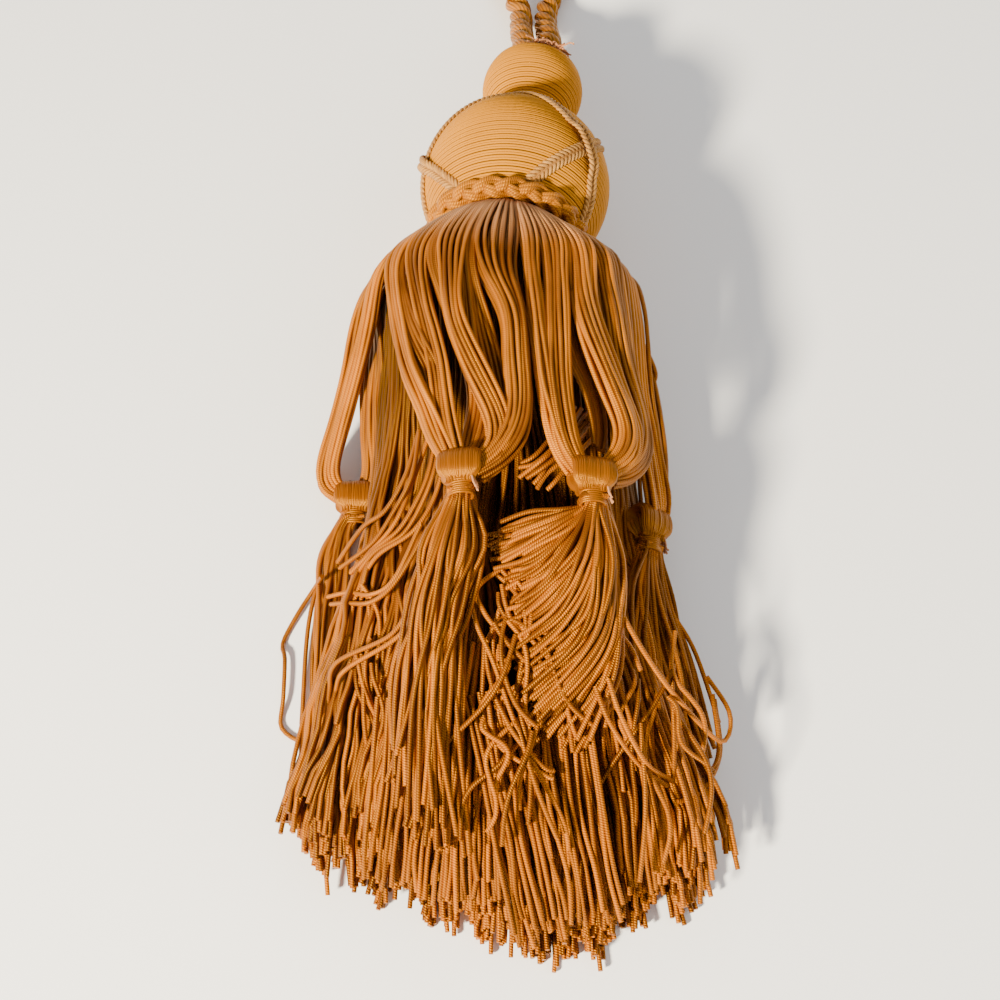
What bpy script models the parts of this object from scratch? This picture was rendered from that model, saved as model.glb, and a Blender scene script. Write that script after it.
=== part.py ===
"""A curtain tieback tassel lying on its back: a wound ball and bead on a rope loop, three
gimp braids crossed over the ball, a plaited ruff, an outer skirt of hanks that hang in loops,
a small bound tassel folded over each loop, and a long inner skirt of cut cords.

Metres, +Z up. The floor is z = 0, the skirt runs towards -Y and the rope leaves the bead
towards +Y. The origin is the middle of the floor that the tassel covers, without its rope.
Every piece hangs from one empty that stands beneath the middle of the ball, and all the places
below are measured from there.
"""

import math
import random
from collections import namedtuple

import bmesh
import bpy
from mathutils import Matrix, Vector

SEED = 17
CLEARANCE = 0.0003  # left between pieces that touch on the real tassel

# The head: a ball and a bead strung on one axis, which leans towards +X and dips at the bead.
BALL_RADIUS = 0.0320
BALL_CENTRE_Z = 0.0330  # the ball is held off the floor by the braids under it
FOOTPRINT_MIDDLE = (-0.0024, -0.0953)  # measured from beneath the ball's centre
BEAD_RADIUS = 0.0180
BEAD_DISTANCE = 0.0503  # from the ball's centre to the bead's
NECK_RADIUS = 0.0105
HEAD_YAW = math.radians(7.0)
HEAD_DIP = math.radians(7.5)
CORD_TURN = 0.0019  # from one turn of the winding cord to the next
TURN_DEPTH = 0.0005
BALL_LOWEST = math.radians(-46.0)
BALL_HIGHEST = math.radians(66.0)
BEAD_LOWEST = math.radians(-54.0)
BEAD_HIGHEST = math.radians(58.0)
BALL_SIDES = 16
BEAD_SIDES = 12

# The gimp braids: each arches over the ball from ruff to neck and back to the ruff.
BRAID_WIDTH = 0.0046
BRAID_THICKNESS = 0.0013
BRAID_TOPS = (-15.0, 105.0, 225.0)  # the azimuth of each arch's top, in degrees
BRAID_TOP_LATITUDE = 52.0
BRAID_FALL = 1.35  # degrees of latitude lost for each degree of azimuth, far from the top
BRAID_ROUNDING = 25.0  # degrees of azimuth over which the arch's top is rounded
BRAID_HALF_SPAN = 88.0
BRAID_CROSSING = 60.0  # degrees from an arch's top to where it crosses its neighbour
BRAID_CROSSING_REACH = 17.0
BRAID_STITCHES = 34
BRAID_CLEARANCE = 0.0004  # wider, because a stitch is straight and the ball beneath it is round
BRAID_PINCH = 0.86  # how wide every second stitch is, as a share of its neighbours
PRESS_DEPTH = 0.0004  # how far above the floor a stitch may be and still be pressed flat on it

# The ruff: a plait wound round under the ball.
RUFF_LATITUDE = math.radians(-46.0)
RUFF_WIDTH = 0.0076
RUFF_THICKNESS = 0.0044
RUFF_LUMPS = 21
RUFF_LUMP_HEIGHT = 0.16
POINTS_PER_LUMP = 4

# The rope: three plies, both of whose legs leave the bead's top.
ROPE_RADIUS = 0.00465
ROPE_PLIES = 3
ROPE_LAY = 0.0210
ROPE_VALLEY = 0.66  # the radius between two plies, as a share of the rope's
ROPE_STEPS_PER_LAY = 5
ROPE_LEG_OFFSET = 0.0050
ROPE_ROUTE = [  # by hand, from the right leg's end round the bight to the left leg's end
    (0.0136, 0.0704, 0.0236),
    (0.0132, 0.0825, 0.0188),
    (0.0129, 0.0955, 0.0112),
    (0.0142, 0.1095, 0.0060),
    (0.0182, 0.1240, 0.0047),
    (0.0280, 0.1500, 0.0047),
    (0.0385, 0.1780, 0.0047),
    (0.0435, 0.2060, 0.0047),
    (0.0400, 0.2340, 0.0047),
    (0.0270, 0.2560, 0.0047),
    (0.0060, 0.2650, 0.0047),
    (-0.0160, 0.2570, 0.0047),
    (-0.0300, 0.2340, 0.0047),
    (-0.0340, 0.2060, 0.0047),
    (-0.0285, 0.1780, 0.0047),
    (-0.0170, 0.1500, 0.0047),
    (-0.0048, 0.1240, 0.0047),
    (0.0006, 0.1095, 0.0060),
    (0.0015, 0.0955, 0.0112),
    (0.0024, 0.0830, 0.0188),
    (0.0037, 0.0716, 0.0236),
]
WHIPPING_WALL = 0.0012
WHIPPING_HEIGHT = 0.0026
WHIPPING_SIDES = 16
WHIPPING_SQUARENESS = 0.45
CURVE_STEPS = 24  # between two points of the route, before they are spaced evenly

# The headings under the ruff, as radius and distance below the ball's centre.
BAND_OUTER = (0.0243, 0.0293)
BAND_LOWER = (0.0222, 0.0318)
BAND_INNER = (0.0200, 0.0306)
BAND_UPPER = (0.0208, 0.0288)
PLUG_RADIUS = 0.0190
PLUG_TOP = 0.0234
PLUG_BOTTOM = 0.0312

# How far each layer of the skirt reaches, at stations along the floor.
Section = namedtuple("Section", "y left right floor top")
INNER_SECTIONS = [
    Section(-0.046, -0.0330, 0.0270, 0.0150, 0.0580),
    Section(-0.082, -0.0376, 0.0340, 0.0098, 0.0585),
    Section(-0.104, -0.0385, 0.0360, 0.0096, 0.0530),
    Section(-0.120, -0.0400, 0.0345, 0.0100, 0.0495),
    Section(-0.160, -0.0465, 0.0420, 0.0074, 0.0420),
    Section(-0.207, -0.0510, 0.0490, 0.0068, 0.0350),
    Section(-0.219, -0.0620, 0.0590, 0.0000, 0.0320),
    Section(-0.250, -0.0680, 0.0650, 0.0000, 0.0240),
]
OUTER_SQUARENESS = (0.9, 0.8)  # the powers that widen the outer layer's oval across and upwards
OUTER_SECTIONS = [
    Section(-0.046, -0.0465, 0.0370, 0.0034, 0.0630),
    Section(-0.078, -0.0465, 0.0405, 0.0034, 0.0650),
    Section(-0.104, -0.0460, 0.0425, 0.0034, 0.0610),
]

# The inner skirt's locks.
LOCK_COLUMNS = 10
LOCK_ROWS = 7
LOCK_FILL = 0.84  # the share of its cell that a lock fills
LOCK_STATIONS = (-0.046, -0.082, -0.119, -0.163, -0.207)
LANDING_Y = -0.219  # where the lowest locks come down on the floor
LOCK_TIP_FILL = 0.5
CROWN = 0.38  # how much lower the skirt's top is at its sides
SIDE_ROUND = 0.14
TIP_LINE = -0.2590
TIP_BOW = 0.0320  # how much shorter the skirt is at its sides
TIP_RISE = 0.0200  # how much shorter its top layer is than its bottom one
TIP_SCATTER = 0.0055
SWAY = 0.0016
SWAY_WAVE = 0.0260

# The outer skirt's hanks: from the band down to a small tassel, through its head and back up.
STRANDS_PER_LEG = 4
STRAND_SPACING = 7.5  # degrees of the band from one strand to the next
RANK_PITCH = 0.0042
LAYER_OFFSET = 0.00165
STRAND_HALF_WIDTH = 0.0018
STRAND_HALF_THICKNESS = 0.0014
TURN_RADIUS = 0.0022  # of the innermost strand, where it turns into the small tassel's head
ROOT_REACH = 0.0050
ROOT_SLOPE = (0.80, 0.60)  # how much outward and how much downward a strand leaves the band
ROOT_HALF_SIZE = (0.0012, 0.0014)
SHOULDER_Y = -0.046
WAIST_Y = -0.078
WAIST_MIX = 0.45
LOW_REACH = 0.0200

# The small tassels. Turn is how far round the body each one faces; the rises are how steeply
# its two legs climb away from it, and draw_in is how much nearer the roll its right leg runs.
Hank = namedtuple("Hank", "root turn x y z rise_right rise_left draw_in")
HANKS = [
    Hank(-30.0, -12.0, -0.0170, -0.1250, 0.0600, 0.06, 0.06, 0.0),
    Hank(30.0, 14.0, 0.0216, -0.1265, 0.0575, 0.06, 0.02, 0.0),
    Hank(90.0, 78.0, 0.0445, -0.1220, 0.0250, 0.00, 0.12, 0.0),
    Hank(150.0, 180.0, 0.0200, -0.1180, 0.0046, 0.00, 0.00, 0.0),
    Hank(210.0, 180.0, -0.0200, -0.1180, 0.0046, 0.00, 0.00, 0.0),
    Hank(270.0, 180.0, -0.0530, -0.1050, 0.0046, 0.40, 0.00, 0.0055),
]
Drop = namedtuple("Drop", "x y z half_width half_thickness crown")
DROPS = [
    [
        Drop(-0.0195, -0.1500, 0.0560, 0.0075, 0.0042, 0.25),
        Drop(-0.0235, -0.1730, 0.0515, 0.0085, 0.0046, 0.30),
        Drop(-0.0262, -0.1980, 0.0465, 0.0095, 0.0044, 0.30),
        Drop(-0.0275, -0.2270, 0.0395, 0.0105, 0.0038, 0.30),
    ],
    [
        Drop(0.0205, -0.1500, 0.0540, 0.0100, 0.0042, 0.25),
        Drop(0.0180, -0.1660, 0.0505, 0.0150, 0.0045, 0.30),
        Drop(0.0165, -0.1830, 0.0468, 0.0185, 0.0042, 0.30),
        Drop(0.0160, -0.2000, 0.0425, 0.0200, 0.0035, 0.30),
    ],
    [
        Drop(0.0505, -0.1460, 0.0230, 0.0075, 0.0040, 0.20),
        Drop(0.0545, -0.1650, 0.0185, 0.0100, 0.0042, 0.20),
        Drop(0.0580, -0.1840, 0.0140, 0.0105, 0.0040, 0.20),
        Drop(0.0605, -0.2020, 0.0095, 0.0085, 0.0032, 0.20),
    ],
    [
        Drop(0.0200, -0.1420, 0.0034, 0.0085, 0.0034, 0.0),
        Drop(0.0200, -0.1620, 0.0032, 0.0120, 0.0032, 0.0),
        Drop(0.0200, -0.1820, 0.0030, 0.0140, 0.0030, 0.0),
        Drop(0.0200, -0.2000, 0.0026, 0.0140, 0.0026, 0.0),
    ],
    [
        Drop(-0.0200, -0.1420, 0.0034, 0.0085, 0.0034, 0.0),
        Drop(-0.0200, -0.1620, 0.0032, 0.0120, 0.0032, 0.0),
        Drop(-0.0200, -0.1820, 0.0030, 0.0140, 0.0030, 0.0),
        Drop(-0.0200, -0.2000, 0.0026, 0.0140, 0.0026, 0.0),
    ],
    [
        Drop(-0.0545, -0.1300, 0.0040, 0.0070, 0.0040, 0.0),
        Drop(-0.0570, -0.1530, 0.0040, 0.0080, 0.0040, 0.0),
        Drop(-0.0595, -0.1760, 0.0038, 0.0085, 0.0038, 0.0),
        Drop(-0.0610, -0.1980, 0.0032, 0.0080, 0.0032, 0.0),
    ],
]
ROLL_HALF_LENGTH = 0.0072
ROLL_OUTER = (0.0059, 0.0046, 0.0011)  # half its height down the skirt, half its thickness, bevel
ROLL_INNER = (0.0044, 0.0035, 0.0002)
ROLL_COLUMNS = 4
ROLL_ROWS = 3
NECK_HALF_SIZE = (0.0047, 0.0030)
NECK_START = 0.0086  # from the roll's middle to where the binding starts and ends
NECK_END = 0.0146
NECK_ROUNDING = 0.35
SMALL_LOCK_FILL = 0.80


def start_clean():
    for old in list(bpy.data.objects):
        bpy.data.objects.remove(old, do_unlink=True)


def cloth_material(name, colour, roughness):
    """A dielectric finish with one colour; the colour is given in linear RGB."""
    material = bpy.data.materials.new(name)
    material.use_nodes = True
    shader = material.node_tree.nodes["Principled BSDF"]
    shader.inputs["Base Color"].default_value = (*colour, 1.0)
    shader.inputs["Roughness"].default_value = roughness
    shader.inputs["Metallic"].default_value = 0.0
    material.diffuse_color = (*colour, 1.0)
    return material


def add_piece(name, mesh_in_progress, material, parent):
    """Turn a bmesh into one named object that carries its own material."""
    bmesh.ops.recalc_face_normals(mesh_in_progress, faces=mesh_in_progress.faces)
    mesh = bpy.data.meshes.new(name)
    mesh_in_progress.to_mesh(mesh)
    mesh_in_progress.free()
    mesh.materials.append(material)
    mesh.shade_smooth()
    mesh.set_sharp_from_angle(angle=math.radians(50.0))
    piece = bpy.data.objects.new(name, mesh)
    bpy.context.scene.collection.objects.link(piece)
    piece.parent = parent
    return piece


def add_empty(name, place, parent):
    empty = bpy.data.objects.new(name, None)
    bpy.context.scene.collection.objects.link(empty)
    empty.parent = parent
    empty.matrix_basis = place
    return empty


def head_frame():
    """The head's own frame: +Z up the axis towards the bead, +Y upwards, -X to the right."""
    axis = Vector(
        (
            math.sin(HEAD_YAW) * math.cos(HEAD_DIP),
            math.cos(HEAD_YAW) * math.cos(HEAD_DIP),
            -math.sin(HEAD_DIP),
        )
    )
    upwards = (Vector((0.0, 0.0, 1.0)) - axis * axis.z).normalized()
    sideways = upwards.cross(axis)
    turn = Matrix((sideways, upwards, axis)).transposed().to_4x4()
    return Matrix.Translation((0.0, 0.0, BALL_CENTRE_Z)) @ turn


HEAD = head_frame()


def head_point(azimuth, radius, height):
    """A point of the head's own frame, at an azimuth that grows from the top to the right."""
    return Vector((-radius * math.sin(azimuth), radius * math.cos(azimuth), height))


def smooth(t):
    t = min(max(t, 0.0), 1.0)
    return t * t * (3.0 - 2.0 * t)


def loft(shape, loops, closed_ring=False):
    """Join loops of points with quads. The ends get flat caps unless the loops make a ring."""
    rows = [[shape.verts.new(point) for point in loop] for loop in loops]
    pairs = list(zip(rows, rows[1:]))
    if closed_ring:
        pairs.append((rows[-1], rows[0]))
    for low, high in pairs:
        join_loops(shape, low, high)
    if not closed_ring:
        shape.faces.new(rows[0])
        shape.faces.new(rows[-1])


def join_loops(shape, low, high):
    count = len(low)
    for k in range(count):
        after = (k + 1) % count
        shape.faces.new((low[k], low[after], high[after], high[k]))


def sweep_strand(shape, root, sections, end=None):
    """Draw a strand out of four points of its backing, through sections of four points each."""
    low = root
    for section in sections:
        high = [shape.verts.new(point) for point in section]
        join_loops(shape, low, high)
        low = high
    if end is None:
        shape.faces.new(low)
    else:
        join_loops(shape, low, end)


def wound_profile(radius, lowest, highest, centre):
    """Radius and height of every valley and crest of the turns wound on a sphere."""
    turns = round(radius * (highest - lowest) / CORD_TURN)
    profile = []
    for k in range(2 * turns + 1):
        latitude = lowest + (highest - lowest) * k / (2 * turns)
        reach = radius if k % 2 else radius - TURN_DEPTH
        profile.append((reach * math.cos(latitude), centre + reach * math.sin(latitude)))
    return profile


def turned_loops(profile, sides):
    return [
        [head_point(math.tau * k / sides, radius, height) for k in range(sides)]
        for radius, height in profile
    ]


def make_ball(material, parent):
    shape = bmesh.new()
    profile = wound_profile(BALL_RADIUS, BALL_LOWEST, BALL_HIGHEST, 0.0)
    loft(shape, turned_loops(profile, BALL_SIDES))
    add_piece("ball", shape, material, parent)


def make_bead(material, parent):
    """The bead with the wound neck that seats it on the ball."""
    foot = BALL_RADIUS * math.sin(BALL_HIGHEST) + CLEARANCE
    sphere = wound_profile(BEAD_RADIUS, BEAD_LOWEST, BEAD_HIGHEST, BEAD_DISTANCE)
    neck_top = sphere[0][1]
    turns = round((neck_top - foot) / CORD_TURN)
    neck = []
    for k in range(2 * turns):
        reach = NECK_RADIUS if k % 2 else NECK_RADIUS - TURN_DEPTH
        neck.append((reach, foot + (neck_top - foot) * k / (2 * turns)))
    shape = bmesh.new()
    loft(shape, turned_loops(neck + sphere, BEAD_SIDES))
    add_piece("bead", shape, material, parent)


def braid_direction(top, across):
    """The unit vector, in the head's frame, of a braid's middle at degrees from its top."""
    rounded = math.hypot(across, BRAID_ROUNDING) - BRAID_ROUNDING
    latitude = math.radians(BRAID_TOP_LATITUDE - BRAID_FALL * rounded)
    azimuth = math.radians(top + across)
    return head_point(azimuth, math.cos(latitude), math.sin(latitude))


def make_braid(name, top, material, parent):
    """A flat herringbone braid that passes over one neighbour and under the other, pressed
    flat where the head rests on it."""
    shape = bmesh.new()
    loops = []
    for k in range(BRAID_STITCHES + 1):
        across = BRAID_HALF_SPAN * (2.0 * k / BRAID_STITCHES - 1.0)
        outward = braid_direction(top, across)
        ahead = braid_direction(top, across + 1.0) - braid_direction(top, across - 1.0)
        sideways = ahead.cross(outward).normalized()
        near = 1.0 - abs(across - BRAID_CROSSING) / BRAID_CROSSING_REACH
        lift = smooth(1.8 * near) * (BRAID_THICKNESS + BRAID_CLEARANCE)
        plump = 1.0 if k % 2 else BRAID_PINCH
        half = 0.5 * BRAID_WIDTH * plump
        thick = BRAID_THICKNESS * plump
        base = outward * (BALL_RADIUS + BRAID_CLEARANCE + lift)
        loops.append(
            [
                base - sideways * half,
                base - sideways * half * 0.6 + outward * thick,
                base + outward * thick * 0.7,
                base + sideways * half * 0.6 + outward * thick,
                base + sideways * half,
            ]
        )
    loft(shape, loops)
    for corner in shape.verts:
        place = HEAD @ corner.co
        if place.z < PRESS_DEPTH:
            place.z = 0.0
            corner.co = HEAD.inverted() @ place
    add_piece(name, shape, material, parent)


def make_ruff(material, parent):
    """A plait of rounded lumps, set half a lump apart along its two edges."""
    shape = bmesh.new()
    loops = []
    steps = RUFF_LUMPS * POINTS_PER_LUMP
    centre = BALL_RADIUS + CLEARANCE + BRAID_THICKNESS + 0.5 * RUFF_THICKNESS
    for k in range(steps):
        azimuth = math.tau * k / steps
        outward = head_point(azimuth, math.cos(RUFF_LATITUDE), math.sin(RUFF_LATITUDE))
        downward = head_point(azimuth, math.sin(RUFF_LATITUDE), -math.cos(RUFF_LATITUDE))
        loop = []
        for corner in range(5):
            around = math.tau * (corner + 0.5) / 5
            wave = math.cos(RUFF_LUMPS * azimuth + math.pi * (math.cos(around) > 0.0))
            swell = 1.0 - RUFF_LUMP_HEIGHT + RUFF_LUMP_HEIGHT * wave
            loop.append(
                outward * (centre + 0.5 * RUFF_THICKNESS * swell * math.sin(around))
                + downward * 0.5 * RUFF_WIDTH * swell * math.cos(around)
            )
        loops.append(loop)
    loft(shape, loops, closed_ring=True)
    add_piece("ruff", shape, material, parent)


def rope_end(side):
    """Where a leg of the rope meets the bead's top; side is 1 for the right leg, -1 for the left."""
    height = BEAD_DISTANCE + BEAD_RADIUS * math.sin(BEAD_HIGHEST) + 2.0 * CLEARANCE
    return HEAD @ Vector((-side * ROPE_LEG_OFFSET, 0.0, height))


def smooth_route(points, step):
    """Points a step apart on a smooth curve through the given ones."""
    fine = []
    padded = [points[0] * 2 - points[1], *points, points[-1] * 2 - points[-2]]
    for before, start, stop, after in zip(padded, padded[1:], padded[2:], padded[3:]):
        for k in range(CURVE_STEPS):
            t = k / CURVE_STEPS
            fine.append(
                0.5
                * (
                    2.0 * start
                    + (stop - before) * t
                    + (2.0 * before - 5.0 * start + 4.0 * stop - after) * t**2
                    + (3.0 * start - before - 3.0 * stop + after) * t**3
                )
            )
    fine.append(points[-1])
    travelled = [0.0]
    for one, other in zip(fine, fine[1:]):
        travelled.append(travelled[-1] + (other - one).length)
    count = round(travelled[-1] / step)
    spaced = []
    k = 0
    for n in range(count + 1):
        goal = travelled[-1] * n / count
        while k < len(fine) - 2 and travelled[k + 1] < goal:
            k += 1
        t = (goal - travelled[k]) / (travelled[k + 1] - travelled[k])
        spaced.append(fine[k].lerp(fine[k + 1], min(t, 1.0)))
    return spaced


def make_rope(material, parent):
    """Three plies laid round each other, as one solid whose ridges follow the lay."""
    route = [rope_end(1), *(Vector(point) for point in ROPE_ROUTE), rope_end(-1)]
    line = smooth_route(route, ROPE_LAY / ROPE_STEPS_PER_LAY)
    shape = bmesh.new()
    loops = []
    points = 2 * ROPE_PLIES
    side = Vector((1.0, 0.0, 0.0))
    for k, place in enumerate(line):
        ahead = (line[min(k + 1, len(line) - 1)] - line[max(k - 1, 0)]).normalized()
        side = (side - ahead * side.dot(ahead)).normalized()
        other = ahead.cross(side)
        twist = -math.tau * k / ROPE_STEPS_PER_LAY
        loop = []
        for corner in range(points):
            angle = twist + math.tau * corner / points
            reach = ROPE_RADIUS * (1.0 if corner % 2 else ROPE_VALLEY)
            loop.append(place + reach * (side * math.cos(angle) + other * math.sin(angle)))
        loops.append(loop)
    loft(shape, loops)
    add_piece("rope_loop", shape, material, parent)


def make_whipping(material, parent):
    """The oval band that binds the two legs of the rope where they leave the bead."""
    foot = BEAD_DISTANCE + BEAD_RADIUS * math.sin(BEAD_HIGHEST) + CLEARANCE
    wide = ROPE_LEG_OFFSET + ROPE_RADIUS + 3.0 * CLEARANCE
    deep = ROPE_RADIUS + 3.0 * CLEARANCE
    shape = bmesh.new()
    loops = []
    for wall, height in (
        (0.0, 0.0),
        (WHIPPING_WALL, 0.0),
        (WHIPPING_WALL, WHIPPING_HEIGHT),
        (0.0, WHIPPING_HEIGHT),
    ):
        loop = []
        for k in range(WHIPPING_SIDES):
            angle = math.tau * k / WHIPPING_SIDES
            corner = max(abs(math.cos(angle)), abs(math.sin(angle)))
            squared = 1.0 / corner**WHIPPING_SQUARENESS
            loop.append(
                Vector(
                    (
                        (wide + wall) * math.cos(angle) * squared,
                        (deep + wall) * math.sin(angle) * squared,
                        foot + height,
                    )
                )
            )
        loops.append(loop)
    loft(shape, loops, closed_ring=True)
    add_piece("rope_whipping", shape, material, parent)


def section_at(sections, y):
    """The reach of a layer at a station, smoothly between the stations that are given."""
    if y >= sections[0].y:
        return sections[0]
    for start, stop in zip(sections, sections[1:]):
        if y >= stop.y:
            t = smooth((start.y - y) / (start.y - stop.y))
            return Section(*(a + (b - a) * t for a, b in zip(start, stop)))
    return sections[-1]


def inner_point(u, v, y):
    """A point of the inner skirt: u runs from its left side to its right, v from its floor up."""
    reach = section_at(INNER_SECTIONS, y)
    middle = 0.5 * (reach.left + reach.right)
    half = 0.5 * (reach.right - reach.left)
    x = middle + half * u * (1.0 - SIDE_ROUND * (2.0 * v - 1.0) ** 2)
    z = reach.floor + (reach.top - reach.floor) * v * (1.0 - CROWN * u * u)
    sway = SWAY * math.sin(y / SWAY_WAVE + 2.0 * v) * (1.0 - u * u)
    return Vector((x + sway, y, z))


def plug_point(u, v, height):
    """A point of the round plug that the inner skirt is gathered on."""
    w = 2.0 * v - 1.0
    across = u * math.sqrt(1.0 - 0.5 * w * w)
    upwards = w * math.sqrt(1.0 - 0.5 * u * u)
    return HEAD @ Vector((-PLUG_RADIUS * across, PLUG_RADIUS * upwards, -height))


def narrowed(low, high, fill, at_start=True, at_end=True):
    """The span of a cell, drawn in from those of its ends that have a neighbour."""
    inset = 0.5 * (1.0 - fill) * (high - low)
    return low + inset * at_start, high - inset * at_end


def make_inner_skirt(material, parent):
    """A plug of gathered cords, each cell of whose face runs out into a tapering lock."""
    scatter = random.Random(SEED)
    shape = bmesh.new()
    us = [2.0 * i / LOCK_COLUMNS - 1.0 for i in range(LOCK_COLUMNS + 1)]
    vs = [j / LOCK_ROWS for j in range(LOCK_ROWS + 1)]
    face = [[shape.verts.new(plug_point(u, v, PLUG_BOTTOM)) for v in vs] for u in us]
    rim = (
        [(i, 0) for i in range(LOCK_COLUMNS)]
        + [(LOCK_COLUMNS, j) for j in range(LOCK_ROWS)]
        + [(i, LOCK_ROWS) for i in range(LOCK_COLUMNS, 0, -1)]
        + [(0, j) for j in range(LOCK_ROWS, 0, -1)]
    )
    top = [shape.verts.new(plug_point(us[i], vs[j], PLUG_TOP)) for i, j in rim]
    join_loops(shape, [face[i][j] for i, j in rim], top)
    shape.faces.new(top)
    for i in range(LOCK_COLUMNS):
        for j in range(LOCK_ROWS):
            root = [face[i][j], face[i + 1][j], face[i + 1][j + 1], face[i][j + 1]]
            u_low, u_high = narrowed(us[i], us[i + 1], LOCK_FILL)
            v_low, v_high = narrowed(vs[j], vs[j + 1], LOCK_FILL, at_start=j > 0)
            tip = TIP_LINE + TIP_BOW * (0.5 * (u_low + u_high)) ** 2 + TIP_RISE * v_low
            tip += scatter.uniform(-TIP_SCATTER, TIP_SCATTER)
            sections = []
            landing = (LANDING_Y,) if j == 0 else ()
            for y in (*LOCK_STATIONS, *landing, tip):
                if y == tip:
                    u_low, u_high = narrowed(u_low, u_high, LOCK_TIP_FILL)
                    v_low, v_high = narrowed(v_low, v_high, LOCK_TIP_FILL, at_start=j > 0)
                sections.append(
                    [
                        inner_point(u_low, v_low, y),
                        inner_point(u_high, v_low, y),
                        inner_point(u_high, v_high, y),
                        inner_point(u_low, v_high, y),
                    ]
                )
            sweep_strand(shape, root, sections)
    add_piece("inner_skirt", shape, material, parent)


def around(y, azimuth):
    """A point on the outer skirt's middle surface, with its outward and sideways directions."""
    reach = section_at(OUTER_SECTIONS, y)

    def place(angle):
        sine, cosine = math.sin(angle), math.cos(angle)
        across, upwards = OUTER_SQUARENESS
        return Vector(
            (
                0.5 * (reach.left + reach.right)
                + 0.5 * (reach.right - reach.left) * math.copysign(abs(sine) ** across, sine),
                y,
                0.5 * (reach.floor + reach.top)
                + 0.5 * (reach.top - reach.floor) * math.copysign(abs(cosine) ** upwards, cosine),
            )
        )

    nearby = math.radians(1.0)
    sideways = (place(azimuth + nearby) - place(azimuth - nearby)).normalized()
    outward = Vector((-sideways.z, 0.0, sideways.x))
    return place(azimuth), outward, sideways


def strand_section(place, wide, thick, half_width, half_thickness):
    """Four corners: outer edge first, from its upper side round to its lower side."""
    return [
        place + wide * half_width + thick * half_thickness,
        place - wide * half_width + thick * half_thickness,
        place - wide * half_width - thick * half_thickness,
        place + wide * half_width - thick * half_thickness,
    ]


def on_floor(section):
    """The same section with no corner below the floor."""
    return [Vector((corner.x, corner.y, max(corner.z, 0.0))) for corner in section]


def facing(hank):
    """The small tassel's sideways and outward directions."""
    turn = math.radians(hank.turn)
    sideways = Vector((math.cos(turn), 0.0, -math.sin(turn)))
    outward = Vector((math.sin(turn), 0.0, math.cos(turn)))
    return sideways, outward


def leg_sections(hank, side, number):
    """One leg of a looped strand, from just below the band to the small tassel's head."""
    rank, layer = divmod(number, 2)
    lift = LAYER_OFFSET * (1 if layer else -1)
    sideways, outward = facing(hank)
    down = Vector((0.0, -1.0, 0.0))
    roll = Vector((hank.x, hank.y, hank.z))
    azimuth = math.radians(hank.root + side * STRAND_SPACING * (number + 0.5))
    sections = []

    root = head_point(azimuth, BAND_OUTER[0], -BAND_OUTER[1]) + head_point(
        azimuth, BAND_LOWER[0], -BAND_LOWER[1]
    )
    leaving = head_point(azimuth, ROOT_SLOPE[0], -ROOT_SLOPE[1])
    start = HEAD @ (0.5 * root + ROOT_REACH * leaving)
    start_side = (HEAD.to_3x3() @ head_point(azimuth + 0.5 * math.pi, 1.0, 0.0)) * side
    start_up = HEAD.to_3x3() @ head_point(azimuth, ROOT_SLOPE[1], ROOT_SLOPE[0])
    sections.append(strand_section(start, start_side, start_up, *ROOT_HALF_SIZE))

    place, away, along = around(SHOULDER_Y, azimuth)
    sections.append(
        strand_section(
            place + away * lift,
            along * side,
            away,
            STRAND_HALF_WIDTH,
            STRAND_HALF_THICKNESS,
        )
    )

    turn_centre = ROLL_HALF_LENGTH + 2.0 * CLEARANCE
    reach = TURN_RADIUS + RANK_PITCH * rank
    rise = hank.rise_right if side > 0 else hank.rise_left
    turn_level = -0.5 * RANK_PITCH - TURN_RADIUS
    draw_in = hank.draw_in if side > 0 else 0.0
    low = (
        roll
        + sideways * side * (turn_centre + reach - draw_in)
        + down * (turn_level - LOW_REACH)
        + Vector((0.0, 0.0, rise * LOW_REACH))
        + outward * lift
    )
    place, away, along = around(WAIST_Y, azimuth)
    higher = Vector((low.x, WAIST_Y, low.z))
    waist = (place + away * lift).lerp(higher, WAIST_MIX)
    waist_side = (along * side).lerp(sideways * side, WAIST_MIX).normalized()
    waist_out = away.lerp(outward, WAIST_MIX).normalized()
    sections.append(
        strand_section(waist, waist_side, waist_out, STRAND_HALF_WIDTH, STRAND_HALF_THICKNESS)
    )
    sections.append(
        strand_section(low, sideways * side, outward, STRAND_HALF_WIDTH, STRAND_HALF_THICKNESS)
    )
    for angle in (0.0, 45.0, 90.0):
        turned = math.radians(angle)
        outer_edge = sideways * side * math.cos(turned) + down * math.sin(turned)
        middle = roll + sideways * side * turn_centre + down * turn_level + outward * lift
        sections.append(
            strand_section(
                middle + outer_edge * reach,
                outer_edge,
                outward,
                STRAND_HALF_WIDTH,
                STRAND_HALF_THICKNESS,
            )
        )
    return [on_floor(section) for section in sections]


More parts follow.
